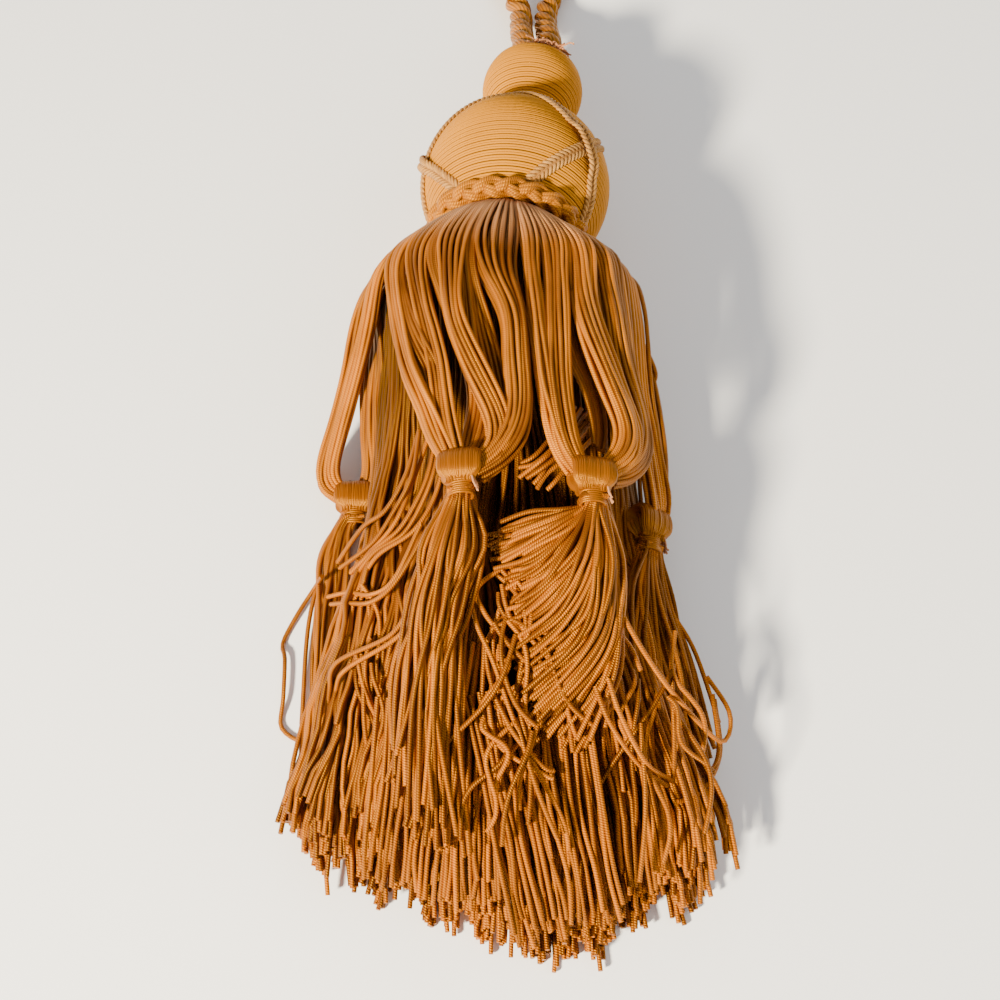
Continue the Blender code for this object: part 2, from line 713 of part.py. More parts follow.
def make_outer_skirt(material, parent):
    """A band round the plug, and looped strands with both ends on it."""
    shape = bmesh.new()
    legs = 2 * STRANDS_PER_LEG
    cells = len(HANKS) * legs
    first = HANKS[0].root - STRAND_SPACING * STRANDS_PER_LEG
    rings = []
    for radius, depth in (BAND_OUTER, BAND_LOWER, BAND_INNER, BAND_UPPER):
        ring = []
        for k in range(cells):
            azimuth = math.radians(first + STRAND_SPACING * k)
            ring.append(shape.verts.new(HEAD @ head_point(azimuth, radius, -depth)))
        rings.append(ring)
    outer, lower, inner, upper = rings
    join_loops(shape, lower, inner)
    join_loops(shape, inner, upper)
    join_loops(shape, upper, outer)
    for number, hank in enumerate(HANKS):
        middle = number * legs + STRANDS_PER_LEG
        for strand in range(STRANDS_PER_LEG):
            right, left = middle + strand, middle - strand - 1
            after = (right + 1) % cells
            root = [outer[after], outer[right], lower[right], lower[after]]
            end = [outer[left], outer[left + 1], lower[left + 1], lower[left]]
            going = leg_sections(hank, 1, strand)
            coming = leg_sections(hank, -1, strand)
            sweep_strand(shape, root, going + coming[::-1], end)
    add_piece("outer_skirt", shape, material, parent)


def roll_profile(half_height, half_thickness, bevel):
    """The roll's outline seen from its end, as distances down the skirt and outward."""
    flat = half_thickness - bevel
    steps = [2.0 * j / ROLL_ROWS - 1.0 for j in range(ROLL_ROWS + 1)]
    lower_edge = [(half_height, flat * step) for step in steps]
    return lower_edge + [
        (half_height - bevel, half_thickness),
        (-half_height + 2.0 * bevel, half_thickness),
        (-half_height, half_thickness - 2.0 * bevel),
        (-half_height, -half_thickness + 2.0 * bevel),
        (-half_height + 2.0 * bevel, -half_thickness),
        (half_height - bevel, -half_thickness),
    ]


def make_small_tassel(name, hank, drops, material, parent):
    """Cords folded over the loop into a roll, bound below it, and hanging as locks."""
    scatter = random.Random(SEED + round(hank.root))
    sideways, outward = facing(hank)
    down = Vector((0.0, -1.0, 0.0))
    roll = Vector((hank.x, hank.y, hank.z))
    shape = bmesh.new()

    def loop_at(along, profile):
        return [roll + sideways * along + down * d + outward * n for d, n in profile]

    outer = []
    for i in range(ROLL_COLUMNS + 1):
        along = ROLL_HALF_LENGTH * (2.0 * i / ROLL_COLUMNS - 1.0)
        loop = loop_at(along, roll_profile(*ROLL_OUTER))
        outer.append([shape.verts.new(point) for point in loop])
    inner = []
    for along in (-ROLL_HALF_LENGTH, ROLL_HALF_LENGTH):
        loop = loop_at(along, roll_profile(*ROLL_INNER))
        inner.append([shape.verts.new(point) for point in loop])
    corners = len(outer[0])
    for low, high in zip(outer, outer[1:]):
        for k in range(ROLL_ROWS, corners):
            after = (k + 1) % corners
            shape.faces.new((low[k], low[after], high[after], high[k]))
    join_loops(shape, inner[0], inner[1])
    join_loops(shape, outer[0], inner[0])
    join_loops(shape, outer[-1], inner[1])

    rim = (
        [(i, 0) for i in range(ROLL_COLUMNS)]
        + [(ROLL_COLUMNS, j) for j in range(ROLL_ROWS)]
        + [(i, ROLL_ROWS) for i in range(ROLL_COLUMNS, 0, -1)]
        + [(0, j) for j in range(ROLL_ROWS, 0, -1)]
    )

    def neck_point(i, j, depth):
        u = 2.0 * i / ROLL_COLUMNS - 1.0
        v = 2.0 * j / ROLL_ROWS - 1.0
        wide, thick = NECK_HALF_SIZE
        return (
            roll
            + down * depth
            + sideways * wide * u * math.sqrt(1.0 - NECK_ROUNDING * v * v)
            + outward * thick * v * math.sqrt(1.0 - NECK_ROUNDING * u * u)
        )

    seat = [outer[i][j] for i, j in rim]
    start = [shape.verts.new(neck_point(i, j, NECK_START)) for i, j in rim]
    join_loops(shape, seat, start)
    face = {}
    for i in range(ROLL_COLUMNS + 1):
        for j in range(ROLL_ROWS + 1):
            face[i, j] = shape.verts.new(neck_point(i, j, NECK_END))
    join_loops(shape, start, [face[key] for key in rim])

    for i in range(ROLL_COLUMNS):
        for j in range(ROLL_ROWS):
            root = [face[i, j], face[i + 1, j], face[i + 1, j + 1], face[i, j + 1]]
            tip_shift = scatter.uniform(-0.5, 0.5) * TIP_SCATTER
            sections = []
            for drop in drops:
                last = drop is drops[-1]
                fill = SMALL_LOCK_FILL * (0.6 if last else 1.0)
                u_low, u_high = narrowed(
                    2.0 * i / ROLL_COLUMNS - 1.0, 2.0 * (i + 1) / ROLL_COLUMNS - 1.0, fill
                )
                v_low, v_high = narrowed(
                    2.0 * j / ROLL_ROWS - 1.0,
                    2.0 * (j + 1) / ROLL_ROWS - 1.0,
                    fill,
                    at_end=j < ROLL_ROWS - 1,
                )
                middle = Vector((drop.x, drop.y - tip_shift * last, drop.z))
                sections.append(
                    [
                        middle
                        + sideways * drop.half_width * u
                        + outward * drop.half_thickness * v
                        - outward * drop.half_thickness * drop.crown * u * u * (v + 1.0)
                        for u, v in (
                            (u_low, v_low),
                            (u_high, v_low),
                            (u_high, v_high),
                            (u_low, v_high),
                        )
                    ]
                )
            sweep_strand(shape, root, [on_floor(section) for section in sections])
    add_piece(name, shape, material, parent)


def main():
    start_clean()
    offset = Vector((-FOOTPRINT_MIDDLE[0], -FOOTPRINT_MIDDLE[1], 0.0))
    tassel = add_empty("tassel", Matrix.Translation(offset), None)
    head = add_empty("head", HEAD, tassel)
    winding = cloth_material("winding_cord", (0.62, 0.40, 0.16), 0.45)
    gimp = cloth_material("gimp_braid", (0.66, 0.45, 0.20), 0.50)
    plait = cloth_material("ruff_plait", (0.60, 0.36, 0.12), 0.50)
    rope = cloth_material("rope_yarn", (0.55, 0.30, 0.06), 0.45)
    skirt = cloth_material("skirt_cord", (0.48, 0.21, 0.04), 0.45)
    satin = cloth_material("satin_binding", (0.66, 0.34, 0.07), 0.35)
    whipping = cloth_material("whipping_thread", (0.60, 0.30, 0.16), 0.70)

    make_ball(winding, head)
    make_bead(winding, head)
    for number, top in enumerate(BRAID_TOPS, start=1):
        make_braid(f"gimp_braid_{number}", top, gimp, head)
    make_ruff(plait, head)
    make_whipping(whipping, head)
    make_rope(rope, tassel)
    make_outer_skirt(skirt, tassel)
    make_inner_skirt(skirt, tassel)
    for number, (hank, drops) in enumerate(zip(HANKS, DROPS), start=1):
        make_small_tassel(f"side_tassel_{number}", hank, drops, satin, tassel)


main()
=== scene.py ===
"""Dress the curtain tieback tassel: wound head, gimp braids, plaited ruff, rope and cord skirts.

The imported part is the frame. Each of its solids is replaced by a piece made of the cords that the
real one is made of. Every place is measured from beneath the ball's centre, as in the part's own
source, and moved to the row frame when a mesh is made. Metres, +Z up, skirt towards -Y.
"""

from __future__ import annotations

import logging
import math
from dataclasses import dataclass, field, replace
from enum import Enum

import bpy
import numpy as np
from mathutils import Matrix, Vector

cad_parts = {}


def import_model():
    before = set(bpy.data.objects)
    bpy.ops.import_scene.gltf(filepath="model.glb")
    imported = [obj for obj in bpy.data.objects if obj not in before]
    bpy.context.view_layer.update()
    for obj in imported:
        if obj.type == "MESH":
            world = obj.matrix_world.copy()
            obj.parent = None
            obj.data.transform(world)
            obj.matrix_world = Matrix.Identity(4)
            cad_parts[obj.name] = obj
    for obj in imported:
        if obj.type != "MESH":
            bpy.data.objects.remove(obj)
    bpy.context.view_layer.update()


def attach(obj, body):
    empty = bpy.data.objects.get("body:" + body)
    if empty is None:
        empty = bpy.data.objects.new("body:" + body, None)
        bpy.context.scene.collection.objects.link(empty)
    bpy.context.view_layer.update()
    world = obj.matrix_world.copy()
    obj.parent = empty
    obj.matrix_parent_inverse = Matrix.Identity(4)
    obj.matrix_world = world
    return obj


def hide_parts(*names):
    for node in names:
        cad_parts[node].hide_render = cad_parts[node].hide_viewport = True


LOG = logging.getLogger("tassel")
SEED = 17
ROW_OFFSET = np.array((0.0024, 0.0953, 0.0))
BODY = "root"
RUN_MAP = "cord_run"
TINT_MAP = "cord_tint"

HEAD_YAW = math.radians(7.0)
HEAD_DIP = math.radians(7.5)
BALL_RADIUS = 0.0320
BALL_CENTRE_Z = 0.0330
BEAD_RADIUS = 0.0180
BEAD_DISTANCE = 0.0503
BEAD_SHOULDER = 0.40 * BEAD_RADIUS  # above this its top is flatter than a ball's
BEAD_SETTLING = 0.68
UP = np.array((0.0, 0.0, 1.0))
DOWN_SKIRT = np.array((0.0, -1.0, 0.0))
CURVE_STEPS = 12  # fine steps between two control points
SHORTEST = 1e-12  # keeps the direction of a vector of no length finite
DRIFT_WAVES = (0.7, 0.45, 0.25)  # the share that each wave has in a random drift
DRIFT_STRETCH = (0.6, 1.5)
NEARLY_UPRIGHT = 0.9
MILLIMETRES = 1000.0
TENTHS = 10000.0  # of a millimetre, in a metre
Route = tuple[tuple[int, int, int], ...]
SHARP_EDGE = math.radians(65.0)
CORD_RADIUS = 0.00076  # of the skirts' cut cords
SHOULDER_Y = -0.046  # where the skirt leaves the head
MEASURING_POINTS = 600

FIBRE_WAVES = 2600.0  # in a metre, like the next
PATCH_WAVES = 55.0
FIBRE_WEIGHT = 0.35
PATCH_WEIGHT = 0.9
ROOT_CHANCE = 0.6  # how much of the root's share differs from cord to cord
ROOT_EVEN = 0.4
RIB_SOFTNESS = 0.7
# how narrow the painted shade in a winding's valleys is
VALLEY_SHADE_SHARPNESS = 2.5
GLINT = (1.0, 0.44, 0.02)
BLOOM = (1.0, 0.42, 0.04)
BLOOM_ROUGHNESS = 0.35


def head_matrix() -> np.ndarray:
    """Work out the head's frame from its yaw and its dip.

    Returns:
        The frame, with +Z up the axis to the bead, +Y upwards and -X to the right.
    """
    level = math.cos(HEAD_DIP)
    axis = Vector((math.sin(HEAD_YAW) * level, math.cos(HEAD_YAW) * level, -math.sin(HEAD_DIP)))
    upwards = (Vector((0.0, 0.0, 1.0)) - axis * axis.z).normalized()
    turn = Matrix((upwards.cross(axis), upwards, axis)).transposed().to_4x4()
    return np.array(Matrix.Translation((0.0, 0.0, BALL_CENTRE_Z)) @ turn)


HEAD = head_matrix()


def on_head(points: np.ndarray) -> np.ndarray:
    """Carry points from the head's frame to beneath the ball.

    Args:
        points: An array whose last axis holds x, y and z in the head's frame.

    Returns:
        The same points, measured from beneath the ball's centre.
    """
    return points @ HEAD[:3, :3].T + HEAD[:3, 3]


def head_point(azimuth: np.ndarray, radius: np.ndarray, height: np.ndarray) -> np.ndarray:
    """Place points of the head's frame by azimuth, radius and height.

    Args:
        azimuth: Radians, growing from the top towards the right.
        radius: Distance from the head's axis.
        height: Distance along the axis from the ball's centre.

    Returns:
        Points in the head's frame.
    """
    azimuth, radius, height = np.broadcast_arrays(azimuth, radius, height)
    return np.stack((-radius * np.sin(azimuth), radius * np.cos(azimuth), height), axis=-1)


def ease(t: np.ndarray) -> np.ndarray:
    """Return the smooth step of t, held between 0 and 1."""
    t = np.clip(t, 0.0, 1.0)
    return t * t * (3.0 - 2.0 * t)


def unit(vectors: np.ndarray) -> np.ndarray:
    """Return the vectors at length one."""
    return vectors / np.maximum(np.linalg.norm(vectors, axis=-1, keepdims=True), SHORTEST)


def smooth_paths(controls: np.ndarray, count: int, reach: np.ndarray | None = None) -> np.ndarray:
    """Draw smooth curves through control points, evenly spaced along their length.

    Args:
        controls: Control points, shaped (curves, points, 3).
        count: How many points each finished curve gets.
        reach: The share of its way at which each curve ends, if any is cut short.

    Returns:
        Curves shaped (curves, count, 3).
    """
    first = 2.0 * controls[:, :1] - controls[:, 1:2]
    last = 2.0 * controls[:, -1:] - controls[:, -2:-1]
    padded = np.concatenate((first, controls, last), axis=1)
    before, start, stop, after = (padded[:, k : padded.shape[1] - 3 + k] for k in range(4))
    t = np.linspace(0.0, 1.0, CURVE_STEPS + 1)[:-1, None]
    fine = 0.5 * (
        2.0 * start[:, :, None]
        + (stop - before)[:, :, None] * t
        + (2.0 * before - 5.0 * start + 4.0 * stop - after)[:, :, None] * t**2
        + (3.0 * start - before - 3.0 * stop + after)[:, :, None] * t**3
    )
    fine = fine.reshape(len(controls), -1, 3)
    fine = np.concatenate((fine, controls[:, -1:]), axis=1)
    run = np.linalg.norm(np.diff(fine, axis=1), axis=-1)
    travelled = np.concatenate((np.zeros((len(fine), 1)), np.cumsum(run, axis=1)), axis=1)
    curves = np.empty((len(fine), count, 3))
    for k, (line, way) in enumerate(zip(fine, travelled)):
        goals = np.linspace(0.0, way[-1] * (1.0 if reach is None else reach[k]), count)
        for axis in range(3):
            curves[k, :, axis] = np.interp(goals, way, line[:, axis])
    return curves


def relaxed(paths: np.ndarray, rounds: int) -> np.ndarray:
    """Draw the kinks out of paths, with their ends left where they are.

    Args:
        paths: Points shaped (curves, points, 3).
        rounds: How many times each point moves towards its neighbours.

    Returns:
        The smoother paths.
    """
    for _ in range(rounds):
        between = 0.5 * paths[:, 1:-1] + 0.25 * (paths[:, :-2] + paths[:, 2:])
        paths = np.concatenate((paths[:, :1], between, paths[:, -1:]), axis=1)
    return paths


def carried_sides(paths: np.ndarray, first_side: np.ndarray) -> tuple[np.ndarray, np.ndarray]:
    """Carry a sideways direction along each path without twisting it.

    Args:
        paths: Points shaped (curves, points, 3).
        first_side: A rough sideways direction at each path's start, shaped (curves, 3).

    Returns:
        The sideways and the remaining direction at each point, both of length one.
    """
    ahead = unit(np.gradient(paths, axis=1))
    sides = np.empty_like(paths)
    side = first_side
    for k in range(paths.shape[1]):
        along = ahead[:, k]
        side = unit(side - along * np.sum(side * along, axis=-1, keepdims=True))
        sides[:, k] = side
    return sides, np.cross(ahead, sides)


def wander(
    rng: np.random.Generator, curves: int, way: np.ndarray, reach: float, wave: float
) -> np.ndarray:
    """Return a smooth random drift for each curve.

    Args:
        rng: The source of chance.
        curves: How many curves drift.
        way: Distance along the curves, shaped (points,).
        reach: The usual size of a drift.
        wave: The usual distance over which a drift turns back.

    Returns:
        Drifts shaped (curves, points).
    """
    drift = np.zeros((curves, len(way)))
    for share in DRIFT_WAVES:
        length = wave * rng.uniform(*DRIFT_STRETCH, (curves, 1)) * share / DRIFT_WAVES[0]
        phase = rng.uniform(0.0, math.tau, (curves, 1))
        drift += share * np.sin(math.tau * way[None, :] / length + phase)
    return reach * drift


def above_floor(paths: np.ndarray, radius: float) -> np.ndarray:
    """Return the paths with no point closer to the floor than the radius."""
    return np.concatenate((paths[..., :2], np.maximum(paths[..., 2:], radius)), axis=-1)


def corner_map(u: np.ndarray | float, v: np.ndarray | float, shape: tuple[int, ...]) -> np.ndarray:
    """Return a map's two axes, with a row for each corner of faces of that shape."""
    return np.stack((np.broadcast_to(u, shape), np.broadcast_to(v, shape)), axis=-1).reshape(-1, 2)


class Tint(Enum):
    """How far a finish spreads its strands between the deeper and the lighter tone."""

    EVEN = 0.25
    LIVELY = 0.6
    STRONG = 1.0


@dataclass(frozen=True)
class YarnFinish:
    """A dyed yarn: two tones, ribs that cross each strand, and a soft sheen.

    The ribs are rib_pitch millimetres apart along a strand, and the twist says how often they wind
    round it in that length. Painted shade darkens the grooves between the ribs and the valley
    between two turns of a winding. A painted tone covers the first root_reach of each cord, as
    strongly as the root_share says: where pale, it is a painted reflection; where dark, painted
    shade.
    """

    name: str
    light: tuple[float, float, float]
    deep: tuple[float, float, float]
    # painted shade: the colour of the grooves between ribs and of a winding's valleys
    groove_shade: tuple[float, float, float]
    rib_pitch: float = 1.0
    twist: int = 3
    # painted shade in the valley between two turns of a winding
    valley_shade: float = 0.0
    rib_relief: float = 0.0002
    # how strongly the painted shade darkens the rib grooves
    rib_shade: float = 0.5
    roughness: float = 0.45
    sheen: float = 0.25
    fuzz: float = 0.15
    tint: Tint = Tint.LIVELY
    # painted at the roots: pale here, a painted reflection; the inner skirt's is dark, painted
    # shade
    root_reflection_and_shade: tuple[float, float, float] = (0.76, 0.47, 0.27)
    root_share: float = 0.0
    root_reach: float = 0.14
    index: float = 1.62
    shine: float = 0.85

    def _dyed_with_painted_root(
        self,
        nodes: NodeBench,
        chance: bpy.types.NodeSocket,
        fraction: bpy.types.NodeSocket,
        fibre: bpy.types.NodeSocket,
    ) -> bpy.types.NodeSocket:
        """Dye the strands in their tones and patches, then add painted light or shade at the root.

        Args:
            nodes: The material's nodes.
            chance: Each strand's own number from 0 to 1.
            fraction: How far along its strand a point is.
            fibre: The fine noise of the fibres.

        Returns:
            The colour before the painted shade of its rib grooves and valleys is laid on.
        """
        patch = nodes.noise(PATCH_WAVES, 2.0)
        blend = nodes.maths("MULTIPLY_ADD", chance, self.tint.value, 0.5 - 0.5 * self.tint.value)
        for noise, weight in ((patch, PATCH_WEIGHT), (fibre, FIBRE_WEIGHT)):
            blend = nodes.maths("MULTIPLY_ADD", nodes.maths("SUBTRACT", noise, 0.5), weight, blend)
        tone = nodes.mix(blend, self.deep, self.light)
        # Painted root tone: a pale painted reflection on the hanks, painted shade on the inner
        # skirt.
        if self.root_share:
            reached = nodes.maths("DIVIDE", fraction, self.root_reach)
            near_root = nodes.maths("SUBTRACT", 1.0, reached)
            share = self.root_share
            own = nodes.maths("MULTIPLY_ADD", chance, ROOT_CHANCE * share, ROOT_EVEN * share)
            near_root = nodes.maths("MULTIPLY", nodes.clamp(near_root), own)
            tone = nodes.mix(near_root, tone, self.root_reflection_and_shade)
        return tone

    def material(self) -> bpy.types.Material:
        """Build the node material of this yarn.

        Returns:
            The finished material, driven by the two maps that every cord carries.
        """
        material = bpy.data.materials.new(self.name)
        material.use_nodes = True
        nodes = NodeBench(material)
        shader = material.node_tree.nodes["Principled BSDF"]
        around, along = nodes.map_axes(RUN_MAP)
        chance, fraction = nodes.map_axes(TINT_MAP)
        turned = nodes.maths("MULTIPLY", around, math.tau * self.twist)
        phase = nodes.maths("MULTIPLY_ADD", along, math.tau / self.rib_pitch, turned)
        rib = nodes.maths("MULTIPLY_ADD", nodes.maths("SINE", phase), 0.5, 0.5)
        rib = nodes.maths("POWER", rib, RIB_SOFTNESS)
        fibre = nodes.noise(FIBRE_WAVES, 3.0)
        tone = self._dyed_with_painted_root(nodes, chance, fraction, fibre)
        # Painted shade: the grooves between the ribs are darkened towards the groove colour.
        shade = nodes.maths("MULTIPLY", nodes.maths("SUBTRACT", 1.0, rib), self.rib_shade)
        tone = nodes.mix(shade, tone, self.groove_shade)
        # Painted shade in the valley between neighbouring turns of a winding.
        if self.valley_shade:
            wrapped = nodes.maths("COSINE", nodes.maths("MULTIPLY", around, math.tau * 2.0))
            beside = nodes.maths("MULTIPLY_ADD", wrapped, -0.5, 0.5)
            beside = nodes.maths("POWER", beside, VALLEY_SHADE_SHARPNESS)
            tone = nodes.mix(nodes.maths("MULTIPLY", beside, self.valley_shade), tone, self.groove_shade)
        material.node_tree.links.new(tone, shader.inputs["Base Color"])
        nodes.bump(nodes.maths("MULTIPLY_ADD", fibre, self.fuzz, rib), self.rib_relief, shader)
        settings = {
            "Roughness": self.roughness,
            "IOR": self.index,
            "Specular IOR Level": self.shine,
            "Specular Tint": (*GLINT, 1.0),
            "Sheen Weight": self.sheen,
            "Sheen Roughness": BLOOM_ROUGHNESS,
            "Sheen Tint": (*BLOOM, 1.0),
        }
        for socket, value in settings.items():
            shader.inputs[socket].default_value = value
        material.diffuse_color = (*self.light, 1.0)
        return material


class NodeBench:
    """A short way to add and join the nodes of one material."""

    def __init__(self, material: bpy.types.Material) -> None:
        """Keep the material's tree.

        Args:
            material: The material whose nodes are added to.
        """
        self.tree = material.node_tree

    def _feed(self, socket: bpy.types.NodeSocket, value: object) -> None:
        """Link or set one input.

        Args:
            socket: The input.
            value: A socket to link, or a number or colour to set.
        """
        if isinstance(value, bpy.types.NodeSocket):
            self.tree.links.new(value, socket)
        elif isinstance(value, tuple):
            socket.default_value = (*value, 1.0)
        else:
            socket.default_value = value

    def maths(self, operation: str, *values: object) -> bpy.types.NodeSocket:
        """Add a maths node.

        Args:
            operation: The node's operation.
            values: Its inputs, as sockets or numbers.

        Returns:
            The node's output.
        """
        node = self.tree.nodes.new("ShaderNodeMath")
        node.operation = operation
        for socket, value in zip(node.inputs, values):
            self._feed(socket, value)
        return node.outputs[0]

    def clamp(self, value: object) -> bpy.types.NodeSocket:
        """Hold a value between 0 and 1.

        Args:
            value: A number's socket or a number.

        Returns:
            The held value.
        """
        node = self.tree.nodes.new("ShaderNodeClamp")
        self._feed(node.inputs[0], value)
        return node.outputs[0]

    def mix(self, share: object, first: object, second: object) -> bpy.types.NodeSocket:
        """Mix two colours.

        Args:
            share: How much of the second there is.
            first: A colour or a colour's socket.
            second: A colour or a colour's socket.

        Returns:
            The mixed colour.
        """
        node = self.tree.nodes.new("ShaderNodeMix")
        node.data_type = "RGBA"
        node.clamp_factor = True
        self._feed(node.inputs[0], share)
        self._feed(node.inputs[6], first)
        self._feed(node.inputs[7], second)
        return node.outputs[2]

    def noise(self, scale: float, detail: float) -> bpy.types.NodeSocket:
        """Add noise in the object's own space.

        Args:
            scale: Waves in a metre.
            detail: Octaves.

        Returns:
            The noise, about 0.5 in the middle.
        """
        place = self.tree.nodes.new("ShaderNodeTexCoord")
        node = self.tree.nodes.new("ShaderNodeTexNoise")
        node.inputs["Scale"].default_value = scale
        node.inputs["Detail"].default_value = detail
        self.tree.links.new(place.outputs["Object"], node.inputs["Vector"])
        return node.outputs[0]

    def map_axes(self, name: str) -> tuple[bpy.types.NodeSocket, bpy.types.NodeSocket]:
        """Read one of the maps that the cords carry.

        Args:
            name: The map's name.

        Returns:
            Its two axes.
        """
        source = self.tree.nodes.new("ShaderNodeUVMap")
        source.uv_map = name
        split = self.tree.nodes.new("ShaderNodeSeparateXYZ")
        self.tree.links.new(source.outputs[0], split.inputs[0])
        return split.outputs[0], split.outputs[1]

    def bump(self, height: bpy.types.NodeSocket, relief: float, shader: bpy.types.Node) -> None:
        """Raise the surface of a shader.

        Args:
            height: The relief, from 0 to 1.
            relief: Its depth in metres.
            shader: The shader that takes it.
        """
        node = self.tree.nodes.new("ShaderNodeBump")
        node.inputs["Strength"].default_value = 1.0
        node.inputs["Distance"].default_value = relief
        self.tree.links.new(height, node.inputs["Height"])
        self.tree.links.new(node.outputs[0], shader.inputs["Normal"])


@dataclass
class CordBundle:
    """Tubes that are gathered into one mesh, with their run and their tint as maps."""

    name: str
    points: list[np.ndarray] = field(default_factory=list)
    quads: list[np.ndarray] = field(default_factory=list)
    runs: list[np.ndarray] = field(default_factory=list)
    tints: list[np.ndarray] = field(default_factory=list)
    total: int = 0

    def lay(
        self,
        paths: np.ndarray,
        radius: float | np.ndarray,
        sides: int = 6,
        tint: np.ndarray | None = None,
        flatten: float | np.ndarray = 1.0,
        first_side: np.ndarray | None = None,
        outward: np.ndarray | None = None,
        closed: bool = False,
    ) -> None:
        """Sweep a round or flattened tube along each path.

        Args:
            paths: Points shaped (cords, points, 3), from beneath the ball.
            radius: The tubes' radius, as one number or per point.
            sides: Corners of a tube's section, an even number.
            tint: A number from 0 to 1 for each cord.
            flatten: The second half-width as a share of the first.
            first_side: The direction of the first half-width at each start.
            outward: The direction of the first half-width at every point, shaped as the paths.
            closed: Whether each path's ends meet, so that no cap is needed.
        """
        cords, count = paths.shape[:2]
        if outward is not None:
            ahead = unit(np.gradient(paths, axis=1))
            side = unit(outward - ahead * np.sum(outward * ahead, axis=-1, keepdims=True))
            other = np.cross(ahead, side)
        else:
            if first_side is None:
                lean = np.abs(unit(paths[:, 1] - paths[:, 0])[:, 2:]) > NEARLY_UPRIGHT
                first_side = np.where(lean, np.array((1.0, 0.0, 0.0)), UP)
            side, other = carried_sides(paths, np.broadcast_to(first_side, (cords, 3)).copy())
        angle = math.tau * np.arange(sides) / sides
        wide = np.broadcast_to(radius, (cords, count))[..., None, None]
        thick = wide * np.broadcast_to(flatten, (cords, count))[..., None, None]
        ring = (
            paths[:, :, None]
            + wide * np.cos(angle)[:, None] * side[:, :, None]
            + thick * np.sin(angle)[:, None] * other[:, :, None]
        )
        ring[..., 2] = np.maximum(ring[..., 2], 0.0)
        self.add_grid(ring, np.full(cords, 0.5) if tint is None else tint, capped=not closed)

    def add_grid(self, ring: np.ndarray, tints: np.ndarray, capped: bool = True) -> None:
        """Join rings of points into tubes.

        Args:
            ring: Points shaped (cords, points, sides, 3).
            tints: A number from 0 to 1 for each cord.
            capped: Whether each tube's two ends are closed.
        """
        cords, count, sides = ring.shape[:3]
        middle = ring.mean(axis=2)
        run = np.linalg.norm(np.diff(middle, axis=1), axis=-1)
        way = np.concatenate((np.zeros((cords, 1)), np.cumsum(run, axis=1)), axis=1)
        number = np.arange(cords * count * sides).reshape(cords, count, sides)
        after = np.roll(number, -1, axis=2)
        body = np.stack(
            (number[:, :-1], after[:, :-1], after[:, 1:], number[:, 1:]), axis=-1
        ).reshape(-1, 4)
        around = np.arange(sides) / sides
        u = np.stack((around, around + 1.0 / sides, around + 1.0 / sides, around), axis=-1)
        v = np.stack((way[:, :-1], way[:, :-1], way[:, 1:], way[:, 1:]), axis=-1) * MILLIMETRES
        share = np.linspace(0.0, 1.0, count)
        s = np.stack((share[:-1], share[:-1], share[1:], share[1:]), axis=-1)
        shape = (cords, count - 1, sides, 4)
        quads = [body]
        runs = [corner_map(u, v[:, :, None], shape)]
        marks = [corner_map(tints[:, None, None, None], s[:, None], shape)]
        if capped:
            fan = np.array([(0, k, k + 1, k + 2) for k in range(1, sides - 2, 2)])
            for end, loop in ((0, number[:, 0, ::-1]), (-1, number[:, -1])):
                cap = np.swapaxes(loop[:, fan], 0, 1)
                quads.append(cap.reshape(-1, 4))
                runs.append(corner_map(0.5, way[:, end, None] * MILLIMETRES, cap.shape))
                marks.append(corner_map(tints[:, None], share[end], cap.shape))
        self.points.append(ring.reshape(-1, 3))
        self.quads.append(np.concatenate(quads) + self.total)
        self.runs.append(np.concatenate(runs))
        self.tints.append(np.concatenate(marks))
        self.total += cords * count * sides

    def piece(
        self, finish: bpy.types.Material, nodes: tuple[str, ...]
    ) -> bpy.types.Object:
        """Make the object, dress it, attach it to the body and hide the part's nodes that it
        replaces.

        Args:
            finish: The material of the whole mesh.
            nodes: The part's nodes that it replaces.

        Returns:
            The finished object.
        """
        co = np.concatenate(self.points) + ROW_OFFSET
        quads = np.concatenate(self.quads)
        mesh = bpy.data.meshes.new(self.name)
        mesh.vertices.add(len(co))
        mesh.vertices.foreach_set("co", co.astype(np.float32).ravel())
        mesh.loops.add(quads.size)
        mesh.loops.foreach_set("vertex_index", quads.astype(np.int32).ravel())
        mesh.polygons.add(len(quads))
        mesh.polygons.foreach_set("loop_start", np.arange(0, quads.size, 4, dtype=np.int32))
        for label, values in ((RUN_MAP, self.runs), (TINT_MAP, self.tints)):
            layer = mesh.uv_layers.new(name=label)
            layer.data.foreach_set("uv", np.concatenate(values).astype(np.float32).ravel())
        mesh.update(calc_edges=True)
        mesh.shade_smooth()
        mesh.set_sharp_from_angle(angle=SHARP_EDGE)
        mesh.materials.append(finish)
        made = bpy.data.objects.new(self.name, mesh)
        bpy.context.scene.collection.objects.link(made)
        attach(made, BODY)
        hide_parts(*nodes)
        LOG.info("%s: %d triangles", self.name, 2 * len(quads))
        return made


def settled(height: np.ndarray) -> np.ndarray:
    """Flatten the bead's top beneath the rope, for heights above its middle."""
    above = np.maximum(height - BEAD_SHOULDER, 0.0)
    return np.minimum(height, BEAD_SHOULDER) + BEAD_SETTLING * above


